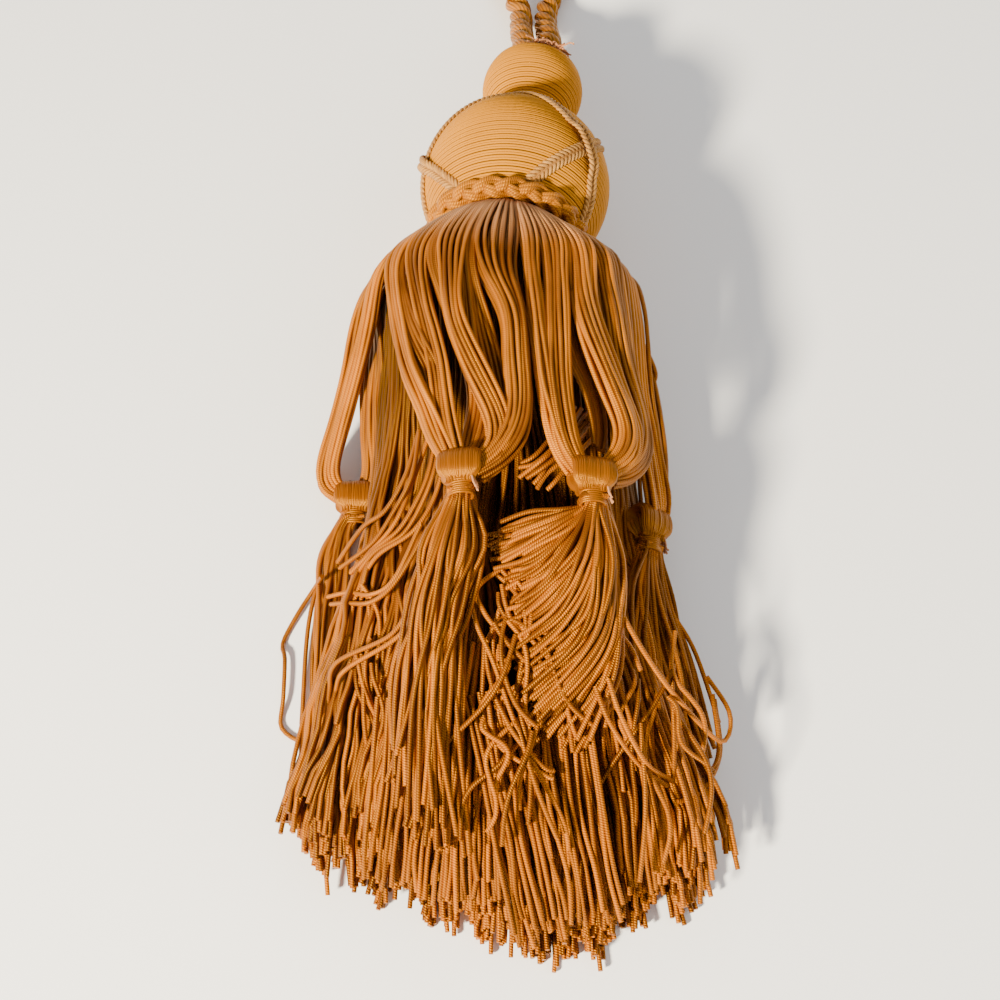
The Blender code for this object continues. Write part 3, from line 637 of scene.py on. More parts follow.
@dataclass
class WoundHead:
    """The ball and the bead: a doubled fine cord wound in touching turns over a turned core.

    The thread's radius, its distance from the turn's middle and the core's depth are shares of the
    pitch. The spans are latitudes in degrees, and the steps are the points of one turn.
    """

    pitch: float = 0.0019
    thread: float = 0.265
    twin: float = 0.212
    core_depth: float = 0.50
    core_corners: int = 40
    unevenness: float = 0.00004
    uneven_turns: float = 3.0
    profile_points: int = 60
    ball_span: tuple[float, float] = (-46.0, 66.0)
    ball_steps: int = 76
    bead_span: tuple[float, float] = (-54.0, 58.0)
    bead_steps: int = 60
    neck_radius: float = 0.0105
    neck_gap: float = 0.0006
    neck_points: int = 10
    neck_steps: int = 48

    def _wind(
        self,
        bundle: CordBundle,
        profile: np.ndarray,
        turns: int,
        steps: int,
        rng: np.random.Generator,
    ) -> None:
        """Wind the cord over a profile.

        Args:
            bundle: Takes the cord.
            profile: Radius and height at even steps from the first turn to the last.
            turns: How many turns there are.
            steps: Points in each turn.
            rng: The source of chance.
        """
        where = np.linspace(0.0, 1.0, turns * steps + 1)
        marks = np.linspace(0.0, 1.0, len(profile))
        radius = np.interp(where, marks, profile[:, 0])
        height = np.interp(where, marks, profile[:, 1])
        azimuth = math.tau * turns * where + math.pi
        lean = -np.gradient(radius) / np.gradient(height)
        outward = unit(head_point(azimuth, 1.0, lean)) @ HEAD[:3, :3].T
        height = height + wander(rng, 1, where * turns, self.unevenness, self.uneven_turns)[0]
        run = unit(np.stack((np.gradient(radius), np.gradient(height)), axis=-1))
        for twin in (-self.twin, self.twin):
            aside = twin * self.pitch * run
            sunk = radius - self.thread * self.pitch + aside[:, 0]
            line = on_head(head_point(azimuth, sunk, height + aside[:, 1]))
            bundle.lay(line[None], self.thread * self.pitch, outward=outward[None])

    def _core(self, bundle: CordBundle, profile: np.ndarray, centre: float) -> None:
        """Add the turned core that closes the gaps between turns.

        Args:
            bundle: Takes the core.
            profile: Radius and height of the winding.
            centre: The middle's height along the axis.
        """
        away = profile[::2] - (0.0, centre)
        inner = profile[::2] - self.core_depth * self.pitch * unit(away)
        azimuth = math.tau * np.arange(self.core_corners) / self.core_corners
        ring = on_head(head_point(azimuth[None, :], inner[:, :1], inner[:, 1:]))
        bundle.add_grid(ring[None], np.array([0.0]))

    def build(self, finish: bpy.types.Material, rng: np.random.Generator) -> None:
        """Make both pieces.

        Args:
            finish: The winding cord's material.
            rng: The source of chance.
        """
        ball = CordBundle("wound_ball")
        latitude = np.radians(np.linspace(*self.ball_span, self.profile_points))
        profile = BALL_RADIUS * np.stack((np.cos(latitude), np.sin(latitude)), axis=-1)
        turns = round(BALL_RADIUS * math.radians(np.ptp(self.ball_span)) / self.pitch)
        self._wind(ball, profile, turns, self.ball_steps, rng)
        self._core(ball, profile, 0.0)
        ball.piece(finish, ("ball",))

        bead = CordBundle("wound_bead")
        latitude = np.radians(np.linspace(*self.bead_span, self.profile_points))
        height = BEAD_DISTANCE + settled(BEAD_RADIUS * np.sin(latitude))
        profile = np.stack((BEAD_RADIUS * np.cos(latitude), height), axis=-1)
        turns = round(BEAD_RADIUS * math.radians(np.ptp(self.bead_span)) / self.pitch)
        self._wind(bead, profile, turns, self.bead_steps, rng)
        self._core(bead, profile, BEAD_DISTANCE)
        foot = BALL_RADIUS * math.sin(math.radians(self.ball_span[1])) + self.neck_gap
        rise = np.linspace(foot, height[0], self.neck_points)
        neck = np.stack((np.full(self.neck_points, self.neck_radius), rise), axis=-1)
        self._wind(bead, neck, round((height[0] - foot) / self.pitch), self.neck_steps, rng)
        bead.piece(finish, ("bead",))


@dataclass
class GimpBraids:
    """Three flat herringbone braids that arch over the ball and cross each other.

    Angles are in degrees. The core's and the stitches' fractions are shares of the width, but for
    the heights, which are shares of the thickness.
    """

    width: float = 0.0048
    thickness: float = 0.0013
    tops: tuple[float, ...] = (-15.0, 105.0, 225.0)
    top_latitude: float = 52.0
    fall: float = 1.35
    rounding: float = 25.0
    half_span: float = 92.0
    crossing: float = 60.0
    crossing_reach: float = 13.0
    crossing_steepness: float = 1.8
    half_step: float = 0.5
    stitch: float = 0.0017
    clearance: float = 0.0004
    seat: float = -0.0003
    points: int = 241
    core_reach: float = 0.46
    core_flatness: float = 0.14
    core_height: float = 0.3
    core_tint: float = 0.1
    tints: tuple[float, float] = (0.3, 1.0)
    stitch_reach: float = 0.0013
    stitch_radius: float = 0.00062
    stitch_fullness: float = 1.15
    stitch_points: int = 7
    stitch_middle: float = 0.27
    stitch_slant: float = 0.23
    stitch_height: float = 0.62
    stitch_bow: float = 0.28

    def _direction(self, top: float, across: np.ndarray) -> np.ndarray:
        """Follow a braid's middle over the ball.

        Args:
            top: The azimuth of the arch's top.
            across: Degrees from the top.

        Returns:
            Directions in the head's frame.
        """
        rounded = np.hypot(across, self.rounding) - self.rounding
        latitude = np.radians(self.top_latitude - self.fall * rounded)
        azimuth = np.radians(top + across)
        return head_point(azimuth, np.cos(latitude), np.sin(latitude))

    def _run(self, top: float, across: np.ndarray) -> tuple[np.ndarray, ...]:
        """Return the braid's underside with its directions.

        Args:
            top: The azimuth of the arch's top.
            across: Degrees from the top.

        Returns:
            Places, and the ahead, sideways and outward directions, from beneath the ball.
        """
        outward = self._direction(top, across)
        step = self.half_step
        ahead = unit(self._direction(top, across + step) - self._direction(top, across - step))
        near = 1.0 - np.abs(across - self.crossing) / self.crossing_reach
        lift = ease(self.crossing_steepness * near) * (self.thickness + self.clearance)
        place = outward * (BALL_RADIUS + self.seat + lift)[:, None]
        turn = HEAD[:3, :3].T
        return on_head(place), ahead @ turn, np.cross(ahead, outward) @ turn, outward @ turn

    def build(self, finish: bpy.types.Material, rng: np.random.Generator) -> None:
        """Make the three braids.

        Args:
            finish: The gimp's material.
            rng: The source of chance.
        """
        for number, top in enumerate(self.tops, start=1):
            bundle = CordBundle(f"herringbone_braid_{number}")
            fine = np.linspace(-self.half_span, self.half_span, self.points)
            place, _, side, out = self._run(top, fine)
            way = np.concatenate(([0.0], np.cumsum(np.linalg.norm(np.diff(place, axis=0), axis=1))))
            core = place + out * self.core_height * self.thickness
            bundle.lay(
                core[None, ::2],
                self.core_reach * self.width,
                8,
                np.array([self.core_tint]),
                self.core_flatness,
                side[:1],
            )
            count = int(way[-1] / self.stitch)
            slope = np.linspace(-1.0, 1.0, self.stitch_points)
            for row in (-1, 1):
                middles = (np.arange(count) + (0.5 if row > 0 else 0.0)) * self.stitch
                middles = middles[middles < way[-1] - self.stitch]
                paths = []
                for t in slope:
                    spot = np.clip(middles + self.stitch_reach * t, 0.0, way[-1])
                    place, _, side, out = self._run(top, np.interp(spot, way, fine))
                    aside = row * self.width * (self.stitch_middle - self.stitch_slant * t)
                    crown = self.thickness * (self.stitch_height - self.stitch_bow * t * t)
                    paths.append(place + side * aside + out * crown)
                lines = np.stack(paths, axis=1)
                fullness = np.clip(self.stitch_fullness - slope**2, 0.0, 1.0)
                swell = self.stitch_radius * np.sqrt(fullness)
                bundle.lay(lines, swell, tint=rng.uniform(*self.tints, len(lines)))
            bundle.piece(finish, (f"gimp_braid_{number}",))


@dataclass
class PlaitedRuff:
    """A plait of three strands, of three cords each, wound round under the ball."""

    latitude: float = math.radians(-46.0)
    width: float = 0.0076
    thickness: float = 0.0044
    strands: int = 3
    waves: int = 7
    cord: float = 0.00095
    edge_cords: float = 2.2
    cord_spacing: float = 1.35
    cord_swell: float = 0.12
    middle_cord_lift: float = 0.0003
    tints: tuple[float, float] = (0.2, 0.9)
    weave_height: float = 0.36
    weave_shift: float = 0.6
    weave_slope: float = 0.9
    stand_off: float = 0.0016
    steps: int = 400
    core_corners: int = 6
    core_depth: float = 0.35
    core_reach: float = 0.36
    core_radius: float = 0.0008

    def build(self, finish: bpy.types.Material, rng: np.random.Generator) -> None:
        """Make the ruff.

        Args:
            finish: The plait's material.
            rng: The source of chance.
        """
        bundle = CordBundle("plaited_ruff")
        azimuth = math.tau * np.arange(self.steps + 1) / self.steps
        outward = head_point(azimuth, math.cos(self.latitude), math.sin(self.latitude))
        downward = head_point(azimuth, math.sin(self.latitude), -math.cos(self.latitude))
        centre = BALL_RADIUS + self.stand_off + 0.5 * self.thickness
        half_weave = 0.5 * self.width - self.edge_cords * self.cord
        for strand in range(self.strands):
            phase = self.waves * azimuth + math.tau * strand / self.strands
            slope = self.weave_slope * np.cos(phase)
            lean = unit(np.stack((np.ones_like(slope), slope), axis=-1))[:, 0]
            for cord in (-1, 0, 1):
                aside = half_weave * np.sin(phase) + cord * self.cord * self.cord_spacing * lean
                height = self.weave_height * self.thickness * np.sin(2.0 * phase + self.weave_shift)
                height = height + self.middle_cord_lift * (cord == 0)
                line = on_head(outward * (centre + height)[:, None] + downward * aside[:, None])
                ahead = unit(np.gradient(line, axis=0))
                bundle.lay(
                    line[None],
                    self.cord * (1.0 + self.cord_swell * np.sin(2.0 * phase + cord))[None],
                    tint=rng.uniform(*self.tints, 1),
                    first_side=np.cross(ahead[:1], UP),
                    closed=True,
                )
        ring = []
        for turn in math.tau * np.arange(self.core_corners) / self.core_corners:
            reach = centre - self.core_depth * self.thickness + self.core_radius * math.sin(turn)
            fall = self.core_reach * self.width * math.cos(turn)
            ring.append(on_head(outward * reach + downward * fall))
        bundle.add_grid(np.stack(ring, axis=1)[None], np.array([0.0]), capped=False)
        bundle.piece(finish, ("ruff",))


@dataclass
class RopeLoop:
    """A three-ply rope that leaves the bead, lies in one bight and comes back."""

    radius: float = 0.00465
    plies: int = 3
    ply_sides: int = 14
    ply_fill: float = 0.93
    ply_tint: tuple[float, float] = (0.55, 0.45)
    lay_length: float = 0.0240
    steps_per_lay: int = 18
    leg_offset: float = 0.0050
    end_latitude: float = math.radians(58.0)
    clearance: float = 0.0006
    route: tuple[tuple[float, float, float], ...] = (
        (0.0136, 0.0704, 0.0236),
        (0.0128, 0.0825, 0.0188),
        (0.0120, 0.0955, 0.0112),
        (0.0126, 0.1095, 0.0060),
        (0.0166, 0.1240, 0.0047),
        (0.0280, 0.1500, 0.0047),
        (0.0385, 0.1780, 0.0047),
        (0.0435, 0.2060, 0.0047),
        (0.0400, 0.2340, 0.0047),
        (0.0270, 0.2560, 0.0047),
        (0.0060, 0.2650, 0.0047),
        (-0.0160, 0.2570, 0.0047),
        (-0.0300, 0.2340, 0.0047),
        (-0.0340, 0.2060, 0.0047),
        (-0.0285, 0.1780, 0.0047),
        (-0.0170, 0.1500, 0.0047),
        (-0.0032, 0.1240, 0.0047),
        (0.0021, 0.1095, 0.0060),
        (0.0025, 0.0955, 0.0112),
        (0.0028, 0.0830, 0.0188),
        (0.0037, 0.0716, 0.0236),
    )

    def end(self, side: int) -> np.ndarray:
        """Return where a leg meets the bead: side is 1 for the right leg, -1 for the left."""
        height = BEAD_DISTANCE + BEAD_RADIUS * math.sin(self.end_latitude) + self.clearance
        return on_head(np.array((-side * self.leg_offset, 0.0, height)))

    def centreline(self, count: int) -> np.ndarray:
        """Return the rope's centreline, from the right leg round to the left one."""
        controls = np.array([self.end(1), *self.route, self.end(-1)])
        return smooth_paths(controls[None], count)[0]

    def build(self, finish: bpy.types.Material) -> None:
        """Make the rope and log its length.

        Args:
            finish: The rope's material.
        """
        rough = self.centreline(MEASURING_POINTS)
        length = float(np.sum(np.linalg.norm(np.diff(rough, axis=0), axis=1)))
        steps = round(length / self.lay_length * self.steps_per_lay)
        line = self.centreline(steps + 1)
        way = np.linspace(0.0, length, steps + 1)
        side, other = carried_sides(line[None], np.array([[1.0, 0.0, 0.0]]))
        side, other = side[0], other[0]
        ply_radius = self.radius / (1.0 + 2.0 / math.sqrt(3.0))
        reach = self.radius - ply_radius
        bundle = CordBundle("twisted_rope")
        for turn in math.tau * np.arange(self.plies) / self.plies:
            twist = turn - math.tau * way / self.lay_length
            spoke = side * np.cos(twist)[:, None] + other * np.sin(twist)[:, None]
            middle = line + reach * spoke
            tint = np.array([self.ply_tint[0] + self.ply_tint[1] * math.cos(turn)])
            fill = self.ply_fill * ply_radius
            bundle.lay(middle[None], fill, self.ply_sides, tint, outward=spoke[None])
        rope = bundle.piece(finish, ("rope_loop",))
        LOG.info("rope: %.3f m along its centre", length)


@dataclass
class Whipping:
    """The thread that binds the rope's legs, with its frayed end laid over the bead's top."""

    thread: float = 0.00045
    tint: float = 0.6
    turns: int = 7
    steps: int = 40
    climb: float = 1.7
    slack: float = 0.0004
    squareness: float = 0.45
    fluff: int = 70
    fluff_radius: float = 0.00030
    fluff_points: int = 9
    tuft_middle: tuple[float, float] = (-0.0042, 0.0118)
    tuft_reach: tuple[float, float] = (0.0056, 0.0036)
    tuft_heights: tuple[float, float] = (0.0002, 0.0018)
    tuft_gap: float = 0.0010
    tuft_limit: float = 0.9
    drift: tuple[float, float, float] = (0.0008, 0.0005, 0.0003)
    scatter: float = 0.0003

    def _tuft(self, rng: np.random.Generator) -> np.ndarray:
        """Lay the frayed ends over the bead's top.

        Args:
            rng: The source of chance.

        Returns:
            Control points in the head's frame, shaped (threads, points, 3).
        """
        start = rng.uniform(-1.0, 1.0, (self.fluff, 2)) * self.tuft_reach + self.tuft_middle
        heights = rng.uniform(*self.tuft_heights, self.fluff)
        drift = rng.normal(0.0, 1.0, (self.fluff, 3)) * self.drift
        controls = np.empty((self.fluff, 4, 3))
        for k in range(controls.shape[1]):
            controls[:, k, :2] = start + drift[:, :2] * k
            away = np.sum(controls[:, k, :2] ** 2, axis=-1)
            away = np.minimum(away, self.tuft_limit * BEAD_RADIUS**2)
            top = BEAD_DISTANCE + settled(np.sqrt(BEAD_RADIUS**2 - away))
            controls[:, k, 2] = top + self.tuft_gap
            controls[:, k, 2] += heights + drift[:, 2] * k
        return controls + rng.normal(0.0, self.scatter, controls.shape)

    def build(self, rope: RopeLoop, finish: bpy.types.Material, rng: np.random.Generator) -> None:
        """Make the thread and its tuft.

        Args:
            rope: The rope that is bound.
            finish: The thread's material.
            rng: The source of chance.
        """
        bundle = CordBundle("whipping_thread")
        foot = BEAD_DISTANCE + float(settled(np.array(BEAD_RADIUS * math.sin(rope.end_latitude))))
        where = np.arange(self.turns * self.steps + 1) / (self.turns * self.steps)
        angle = math.tau * self.turns * where
        squared = 1.0 / np.maximum(np.abs(np.cos(angle)), np.abs(np.sin(angle))) ** self.squareness
        across = (rope.leg_offset + rope.radius + self.slack) * np.cos(angle) * squared
        deep = (rope.radius + self.slack) * np.sin(angle) * squared
        height = foot + self.climb * self.thread * self.turns * where
        line = np.stack((across, deep, height), axis=-1)
        bundle.lay(on_head(line)[None], self.thread, tint=np.array([self.tint]))
        tuft = on_head(smooth_paths(self._tuft(rng), self.fluff_points))
        bundle.lay(tuft, self.fluff_radius, tint=rng.uniform(0.0, 1.0, self.fluff))
        bundle.piece(finish, ("rope_whipping",))


@dataclass(frozen=True)
class Section:
    """How far a layer of the skirt reaches at one station along the floor."""

    y: float
    left: float
    right: float
    floor: float
    top: float


@dataclass(frozen=True)
class Parting:
    """A place where the skirt's cords are pushed aside and down."""

    x: float
    y: float
    half_width: float
    half_length: float
    push: float
    sink: float


def reach_at(sections: tuple[Section, ...], y: np.ndarray) -> tuple[np.ndarray, ...]:
    """Read a table of sections at many stations.

    Args:
        sections: The table, from the head outwards.
        y: Stations along the floor.

    Returns:
        The left, right, floor and top reach at each station.
    """
    stations = -np.array([s.y for s in sections])
    k = np.clip(np.searchsorted(stations, -y, side="right") - 1, 0, len(stations) - 2)
    t = ease((-y - stations[k]) / (stations[k + 1] - stations[k]))
    table = np.array([(s.left, s.right, s.floor, s.top) for s in sections])
    mixed = table[k] + (table[k + 1] - table[k]) * t[..., None]
    return tuple(mixed[..., axis] for axis in range(4))


@dataclass(frozen=True)
class Drift:
    """A smooth random drift: its usual size, and the distance over which it turns back."""

    reach: float
    wave: float


@dataclass
class InnerSkirt:
    """The long skirt of cut cords that the hanks lie over.

    The cords gather into locks. Farther down the skirt each lock, and each cord in it, drifts more.
    """

    sections: tuple[Section, ...] = (
        Section(SHOULDER_Y, -0.0440, 0.0290, 0.0150, 0.0510),
        Section(-0.082, -0.0445, 0.0355, 0.0098, 0.0470),
        Section(-0.104, -0.0455, 0.0370, 0.0080, 0.0455),
        Section(-0.130, -0.0490, 0.0395, 0.0040, 0.0450),
        Section(-0.160, -0.0550, 0.0450, 0.0012, 0.0420),
        Section(-0.190, -0.0620, 0.0540, 0.0010, 0.0365),
        Section(-0.219, -0.0690, 0.0630, 0.0010, 0.0290),
        Section(-0.250, -0.0710, 0.0670, 0.0010, 0.0175),
        Section(-0.275, -0.0720, 0.0680, 0.0010, 0.0120),
    )
    tip_edge: tuple[tuple[float, float], ...] = (
        (-0.0701, -0.2190),
        (-0.0587, -0.2275),
        (-0.0406, -0.2380),
        (-0.0230, -0.2440),
        (0.0016, -0.2535),
        (0.0116, -0.2550),
        (0.0246, -0.2535),
        (0.0306, -0.2450),
        (0.0525, -0.2420),
        (0.0656, -0.2300),
    )
    tip_half: float = 0.0690
    tip_middle: float = -0.0022
    tip_rise: float = 0.0085
    tip_scatter: float = 0.0026
    early_share: float = 0.14
    early_above: float = 0.45
    early_cut: tuple[float, float] = (0.004, 0.034)
    layers: tuple[tuple[str, float, float], ...] = (
        ("upper", 0.64, 1.0),
        ("middle", 0.32, 0.64),
        ("lower", -1.0, 0.32),
    )
    columns: int = 60
    rows: int = 17
    column_scatter: float = 0.6
    row_scatter: float = 0.35
    stations: int = 27
    length: float = 0.21
    spread_from: float = 0.070
    spread_over: float = 0.120
    crown: float = 0.32
    side_round: float = 0.14
    tiers: int = 5
    tier_shift: float = 0.37
    lock_width: float = 0.105
    lock_gather: float = 0.34
    lock_lean: float = 0.0026
    lock_drift: Drift = Drift(0.0013, 0.120)
    lock_rise: Drift = Drift(0.0010, 0.110)
    cord_drift: Drift = Drift(0.00062, 0.060)
    cord_rise: Drift = Drift(0.00045, 0.060)
    drift_at_root: float = 0.25
    rise_at_root: float = 0.3
    parting_edge: float = 3.0
    plug_radius: float = 0.0190
    plug_height: float = -0.0240
    partings: tuple[Parting, ...] = (
        Parting(0.0010, -0.1300, 0.0130, 0.0280, 0.0080, 0.0240),
        Parting(-0.0350, -0.1240, 0.0070, 0.0240, 0.0030, 0.0080),
        Parting(-0.0100, -0.1850, 0.0040, 0.0200, 0.0015, 0.0040),
        Parting(0.0330, -0.1500, 0.0045, 0.0260, 0.0025, 0.0080),
    )

    def _grid(self, rng: np.random.Generator) -> tuple[np.ndarray, np.ndarray]:
        """Scatter the cords over the skirt's section.

        Args:
            rng: The source of chance.

        Returns:
            Each cord's place across and up the section.
        """
        u, v = np.meshgrid(
            (np.arange(self.columns) + 0.5) / self.columns * 2.0 - 1.0,
            (np.arange(self.rows) + 0.5) / self.rows,
            indexing="ij",
        )
        u = u + (np.arange(self.rows) % 2 - 0.5)[None, :] / self.columns
        u = u + rng.uniform(-self.column_scatter, self.column_scatter, u.shape) / self.columns
        v = v + rng.uniform(-self.row_scatter, self.row_scatter, v.shape) / self.rows
        return np.clip(u.ravel(), -1.0, 1.0), np.clip(v.ravel(), 0.0, 1.0)

    def _plug(self, u: np.ndarray, v: np.ndarray) -> np.ndarray:
        """Gather the cords on the round plug.

        Args:
            u: Each cord's place across the section.
            v: Each cord's place up the section.

        Returns:
            Where each cord starts.
        """
        w = 2.0 * v - 1.0
        across = u * np.sqrt(1.0 - 0.5 * w * w)
        upwards = w * np.sqrt(1.0 - 0.5 * u * u)
        flat = np.stack((-self.plug_radius * across, self.plug_radius * upwards), axis=-1)
        height = np.full((*u.shape, 1), self.plug_height)
        return on_head(np.concatenate((flat, height), axis=-1))

    def _tips(self, u: np.ndarray, v: np.ndarray, rng: np.random.Generator) -> np.ndarray:
        """Cut the cords, a few of them early.

        Args:
            u: Each cord's place across the section.
            v: Each cord's place up the section.
            rng: The source of chance.

        Returns:
            How far along the floor each cord is cut.
        """
        edge = np.array(self.tip_edge)
        tip = np.interp(self.tip_middle + self.tip_half * u, edge[:, 0], edge[:, 1])
        tip = tip + self.tip_rise * v + rng.normal(0.0, self.tip_scatter, len(u))
        early = (rng.random(len(u)) < self.early_share) & (v > self.early_above)
        return tip + early * rng.uniform(*self.early_cut, len(u))

    def _paths(self, u: np.ndarray, v: np.ndarray, rng: np.random.Generator) -> np.ndarray:
        """Draw every cord from the plug to its cut end.

        Args:
            u: Each cord's place across the section.
            v: Each cord's place up the section.
            rng: The source of chance.

        Returns:
            Paths shaped (cords, points, 3).
        """
        tip = self._tips(u, v, rng)
        t = np.linspace(0.0, 1.0, self.stations - 1)[None, :]
        y = SHOULDER_Y + (tip[:, None] - SHOULDER_Y) * t
        left, right, floor, top = reach_at(self.sections, y)
        way = np.linspace(0.0, self.length, self.stations - 1)
        spread = ease((-y - self.spread_from) / self.spread_over)

        tier = np.floor(v * self.tiers)
        cell = np.floor(u / self.lock_width + self.tier_shift * tier)
        home = (cell + 0.5 - self.tier_shift * tier) * self.lock_width
        locks, member = np.unique(np.stack((cell, tier)), axis=1, return_inverse=True)
        member, count = member.ravel(), locks.shape[1]

        def drifted(lock: Drift, cord: Drift) -> np.ndarray:
            """Return each cord's drift: its lock's and its own."""
            shared = wander(rng, count, way, lock.reach, lock.wave)[member]
            return shared + wander(rng, len(u), way, cord.reach, cord.wave)

        lean = rng.normal(0.0, self.lock_lean, (count, 1))[member]
        aside = drifted(self.lock_drift, self.cord_drift) + lean * spread
        gathered = u[:, None] + (home - u)[:, None] * self.lock_gather * spread
        rounded = 1.0 - self.side_round * (2.0 * v[:, None] - 1.0) ** 2
        x = 0.5 * (left + right) + 0.5 * (right - left) * gathered * rounded
        x = x + aside * (self.drift_at_root + spread)
        z = floor + (top - floor) * v[:, None] * (1.0 - self.crown * gathered**2)
        z = z + drifted(self.lock_rise, self.cord_rise) * (self.rise_at_root + spread)
        x, z = self._part(x, y, z, top)
        line = above_floor(np.stack((x, y, z), axis=-1), CORD_RADIUS)
        return np.concatenate((self._plug(u, v)[:, None], line), axis=1)

    def _part(
        self, x: np.ndarray, y: np.ndarray, z: np.ndarray, top: np.ndarray
    ) -> tuple[np.ndarray, np.ndarray]:
        """Push the cords out of the partings.

        Args:
            x: Places across.
            y: Places along.
            z: Heights.
            top: The skirt's top at each place.

        Returns:
            The new places across and the new heights.
        """
        for parting in self.partings:
            near = (x - parting.x) / parting.half_width
            along = (y - parting.y) / parting.half_length
            weight = np.exp(-(near**2) - along**2)
            depth = ease(z / top)
            edge = ease(np.abs(near) * self.parting_edge)
            x = x + np.sign(near) * weight * parting.push * depth * edge
            z = z - weight * parting.sink * depth
        return x, z

    def build(self, finish: bpy.types.Material, rng: np.random.Generator) -> None:
        """Make the skirt, in three layers.

        Args:
            finish: The skirt cord's material.
            rng: The source of chance.
        """
        u, v = self._grid(rng)
        paths = self._paths(u, v, rng)
        tints = rng.uniform(0.0, 1.0, len(u))
        for name, low, high in self.layers:
            chosen = (v > low) & (v <= high)
            bundle = CordBundle(f"inner_skirt_{name}")
            bundle.lay(paths[chosen], CORD_RADIUS, tint=tints[chosen])
            bundle.piece(finish, ("inner_skirt",))


@dataclass(frozen=True)
class Lock:
    """Cords of a hank that run together from the band to a small tassel.

    A facing says, in degrees from the top, which way the lock's flat side looks. A factor below one
    scales the lock's tints down, as painted shade where other cords shadow it. Its route is in
    tenths of a millimetre.
    """

    first: float
    last: float
    cords: int
    layers: int
    facing: float | None = None
    # painted shade: below one, the lock's tints are darker
    painted_shade_scale: float = 1.0
    route: Route = ()


LOCKS = (
    Lock(-62, -47, 15, 3, route=(
        (-341, -868, 569), (-289, -1009, 580), (-234, -1173, 590), (-203, -1237, 600))),
    Lock(-50, -46, 4, 1, route=(
        (-318, -781, 592), (-269, -885, 599), (-240, -1013, 575), (-207, -1173, 590))),
    Lock(-46, -31, 14, 3, route=(
        (-245, -892, 605), (-230, -1033, 595), (-204, -1165, 600), (-180, -1237, 600))),
    Lock(-31, -26, 8, 2, painted_shade_scale=0.5, route=(
        (-125, -945, 570), (-146, -1135, 565), (-162, -1228, 585))),
    Lock(-17, -9, 8, 1, painted_shade_scale=0.6, route=(
        (-118, -800, 590), (-92, -930, 575), (-70, -1040, 575), (-85, -1150, 580),
        (-130, -1235, 590))),
    Lock(-29, -13, 20, 4, route=(
        (-197, -738, 633), (-141, -905, 624), (-80, -1045, 615), (-47, -1151, 605),
        (-80, -1234, 600), (-132, -1271, 600))),
    Lock(-12, 6, 23, 4, route=(
        (-13, -727, 648), (-8, -876, 636), (4, -1045, 615), (-20, -1157, 615), (-68, -1235, 608),
        (-126, -1275, 602))),
    Lock(6, 14, 10, 3, route=(
        (57, -731, 644), (77, -940, 617), (97, -1071, 600), (128, -1207, 590), (163, -1253, 580))),
    Lock(14, 26, 15, 3, route=(
        (116, -727, 637), (116, -937, 613), (127, -1071, 600), (146, -1190, 590),
        (177, -1249, 580))),
    Lock(24, 28, 7, 1, painted_shade_scale=0.5, route=(
        (167, -790, 560), (220, -931, 535), (245, -1058, 520), (240, -1140, 515))),
    Lock(26, 42, 23, 4, route=(
        (210, -707, 609), (262, -877, 582), (308, -1011, 560), (341, -1115, 545),
        (313, -1214, 555), (258, -1254, 570))),
    Lock(42, 60, 23, 4, route=(
        (301, -669, 554), (320, -854, 530), (360, -991, 490), (375, -1121, 490), (332, -1234, 530),
        (267, -1269, 560))),
    Lock(56, 84, 15, 2, 45, route=(
        (366, -540, 450), (378, -680, 440), (388, -865, 400), (404, -985, 360), (422, -1110, 330),
        (438, -1200, 295), (440, -1248, 255))),
    Lock(86, 116, 15, 2, painted_shade_scale=0.6, route=(
        (425, -660, 160), (445, -838, 150), (455, -1020, 150), (452, -1180, 170),
        (440, -1245, 210))),
    Lock(118, 148, 14, 2, route=(
        (300, -850, 40), (262, -1060, 40), (215, -1180, 46))),
    Lock(150, 178, 14, 2, route=(
        (100, -850, 40), (138, -1060, 40), (185, -1180, 46))),
    Lock(182, 210, 14, 2, route=(
        (-120, -850, 40), (-138, -1060, 40), (-185, -1180, 46))),
    Lock(212, 242, 14, 2, route=(
        (-320, -850, 40), (-262, -1060, 40), (-215, -1180, 46))),
    Lock(242, 270, 14, 2, -42, 0.4, route=(
        (-466, -627, 250), (-480, -748, 200), (-480, -882, 130), (-472, -997, 65),
        (-503, -1045, 50))),
    Lock(271, 297, 17, 3, -35, route=(
        (-496, -540, 350), (-532, -670, 260), (-578, -819, 165), (-622, -948, 85),
        (-629, -1025, 55), (-572, -1048, 50))),
)


@dataclass(frozen=True)
class Shoulder:
    """A station near the band: how far the layers spread there, and how far a lock has gathered."""

    y: float
    spread: float
    gather: float


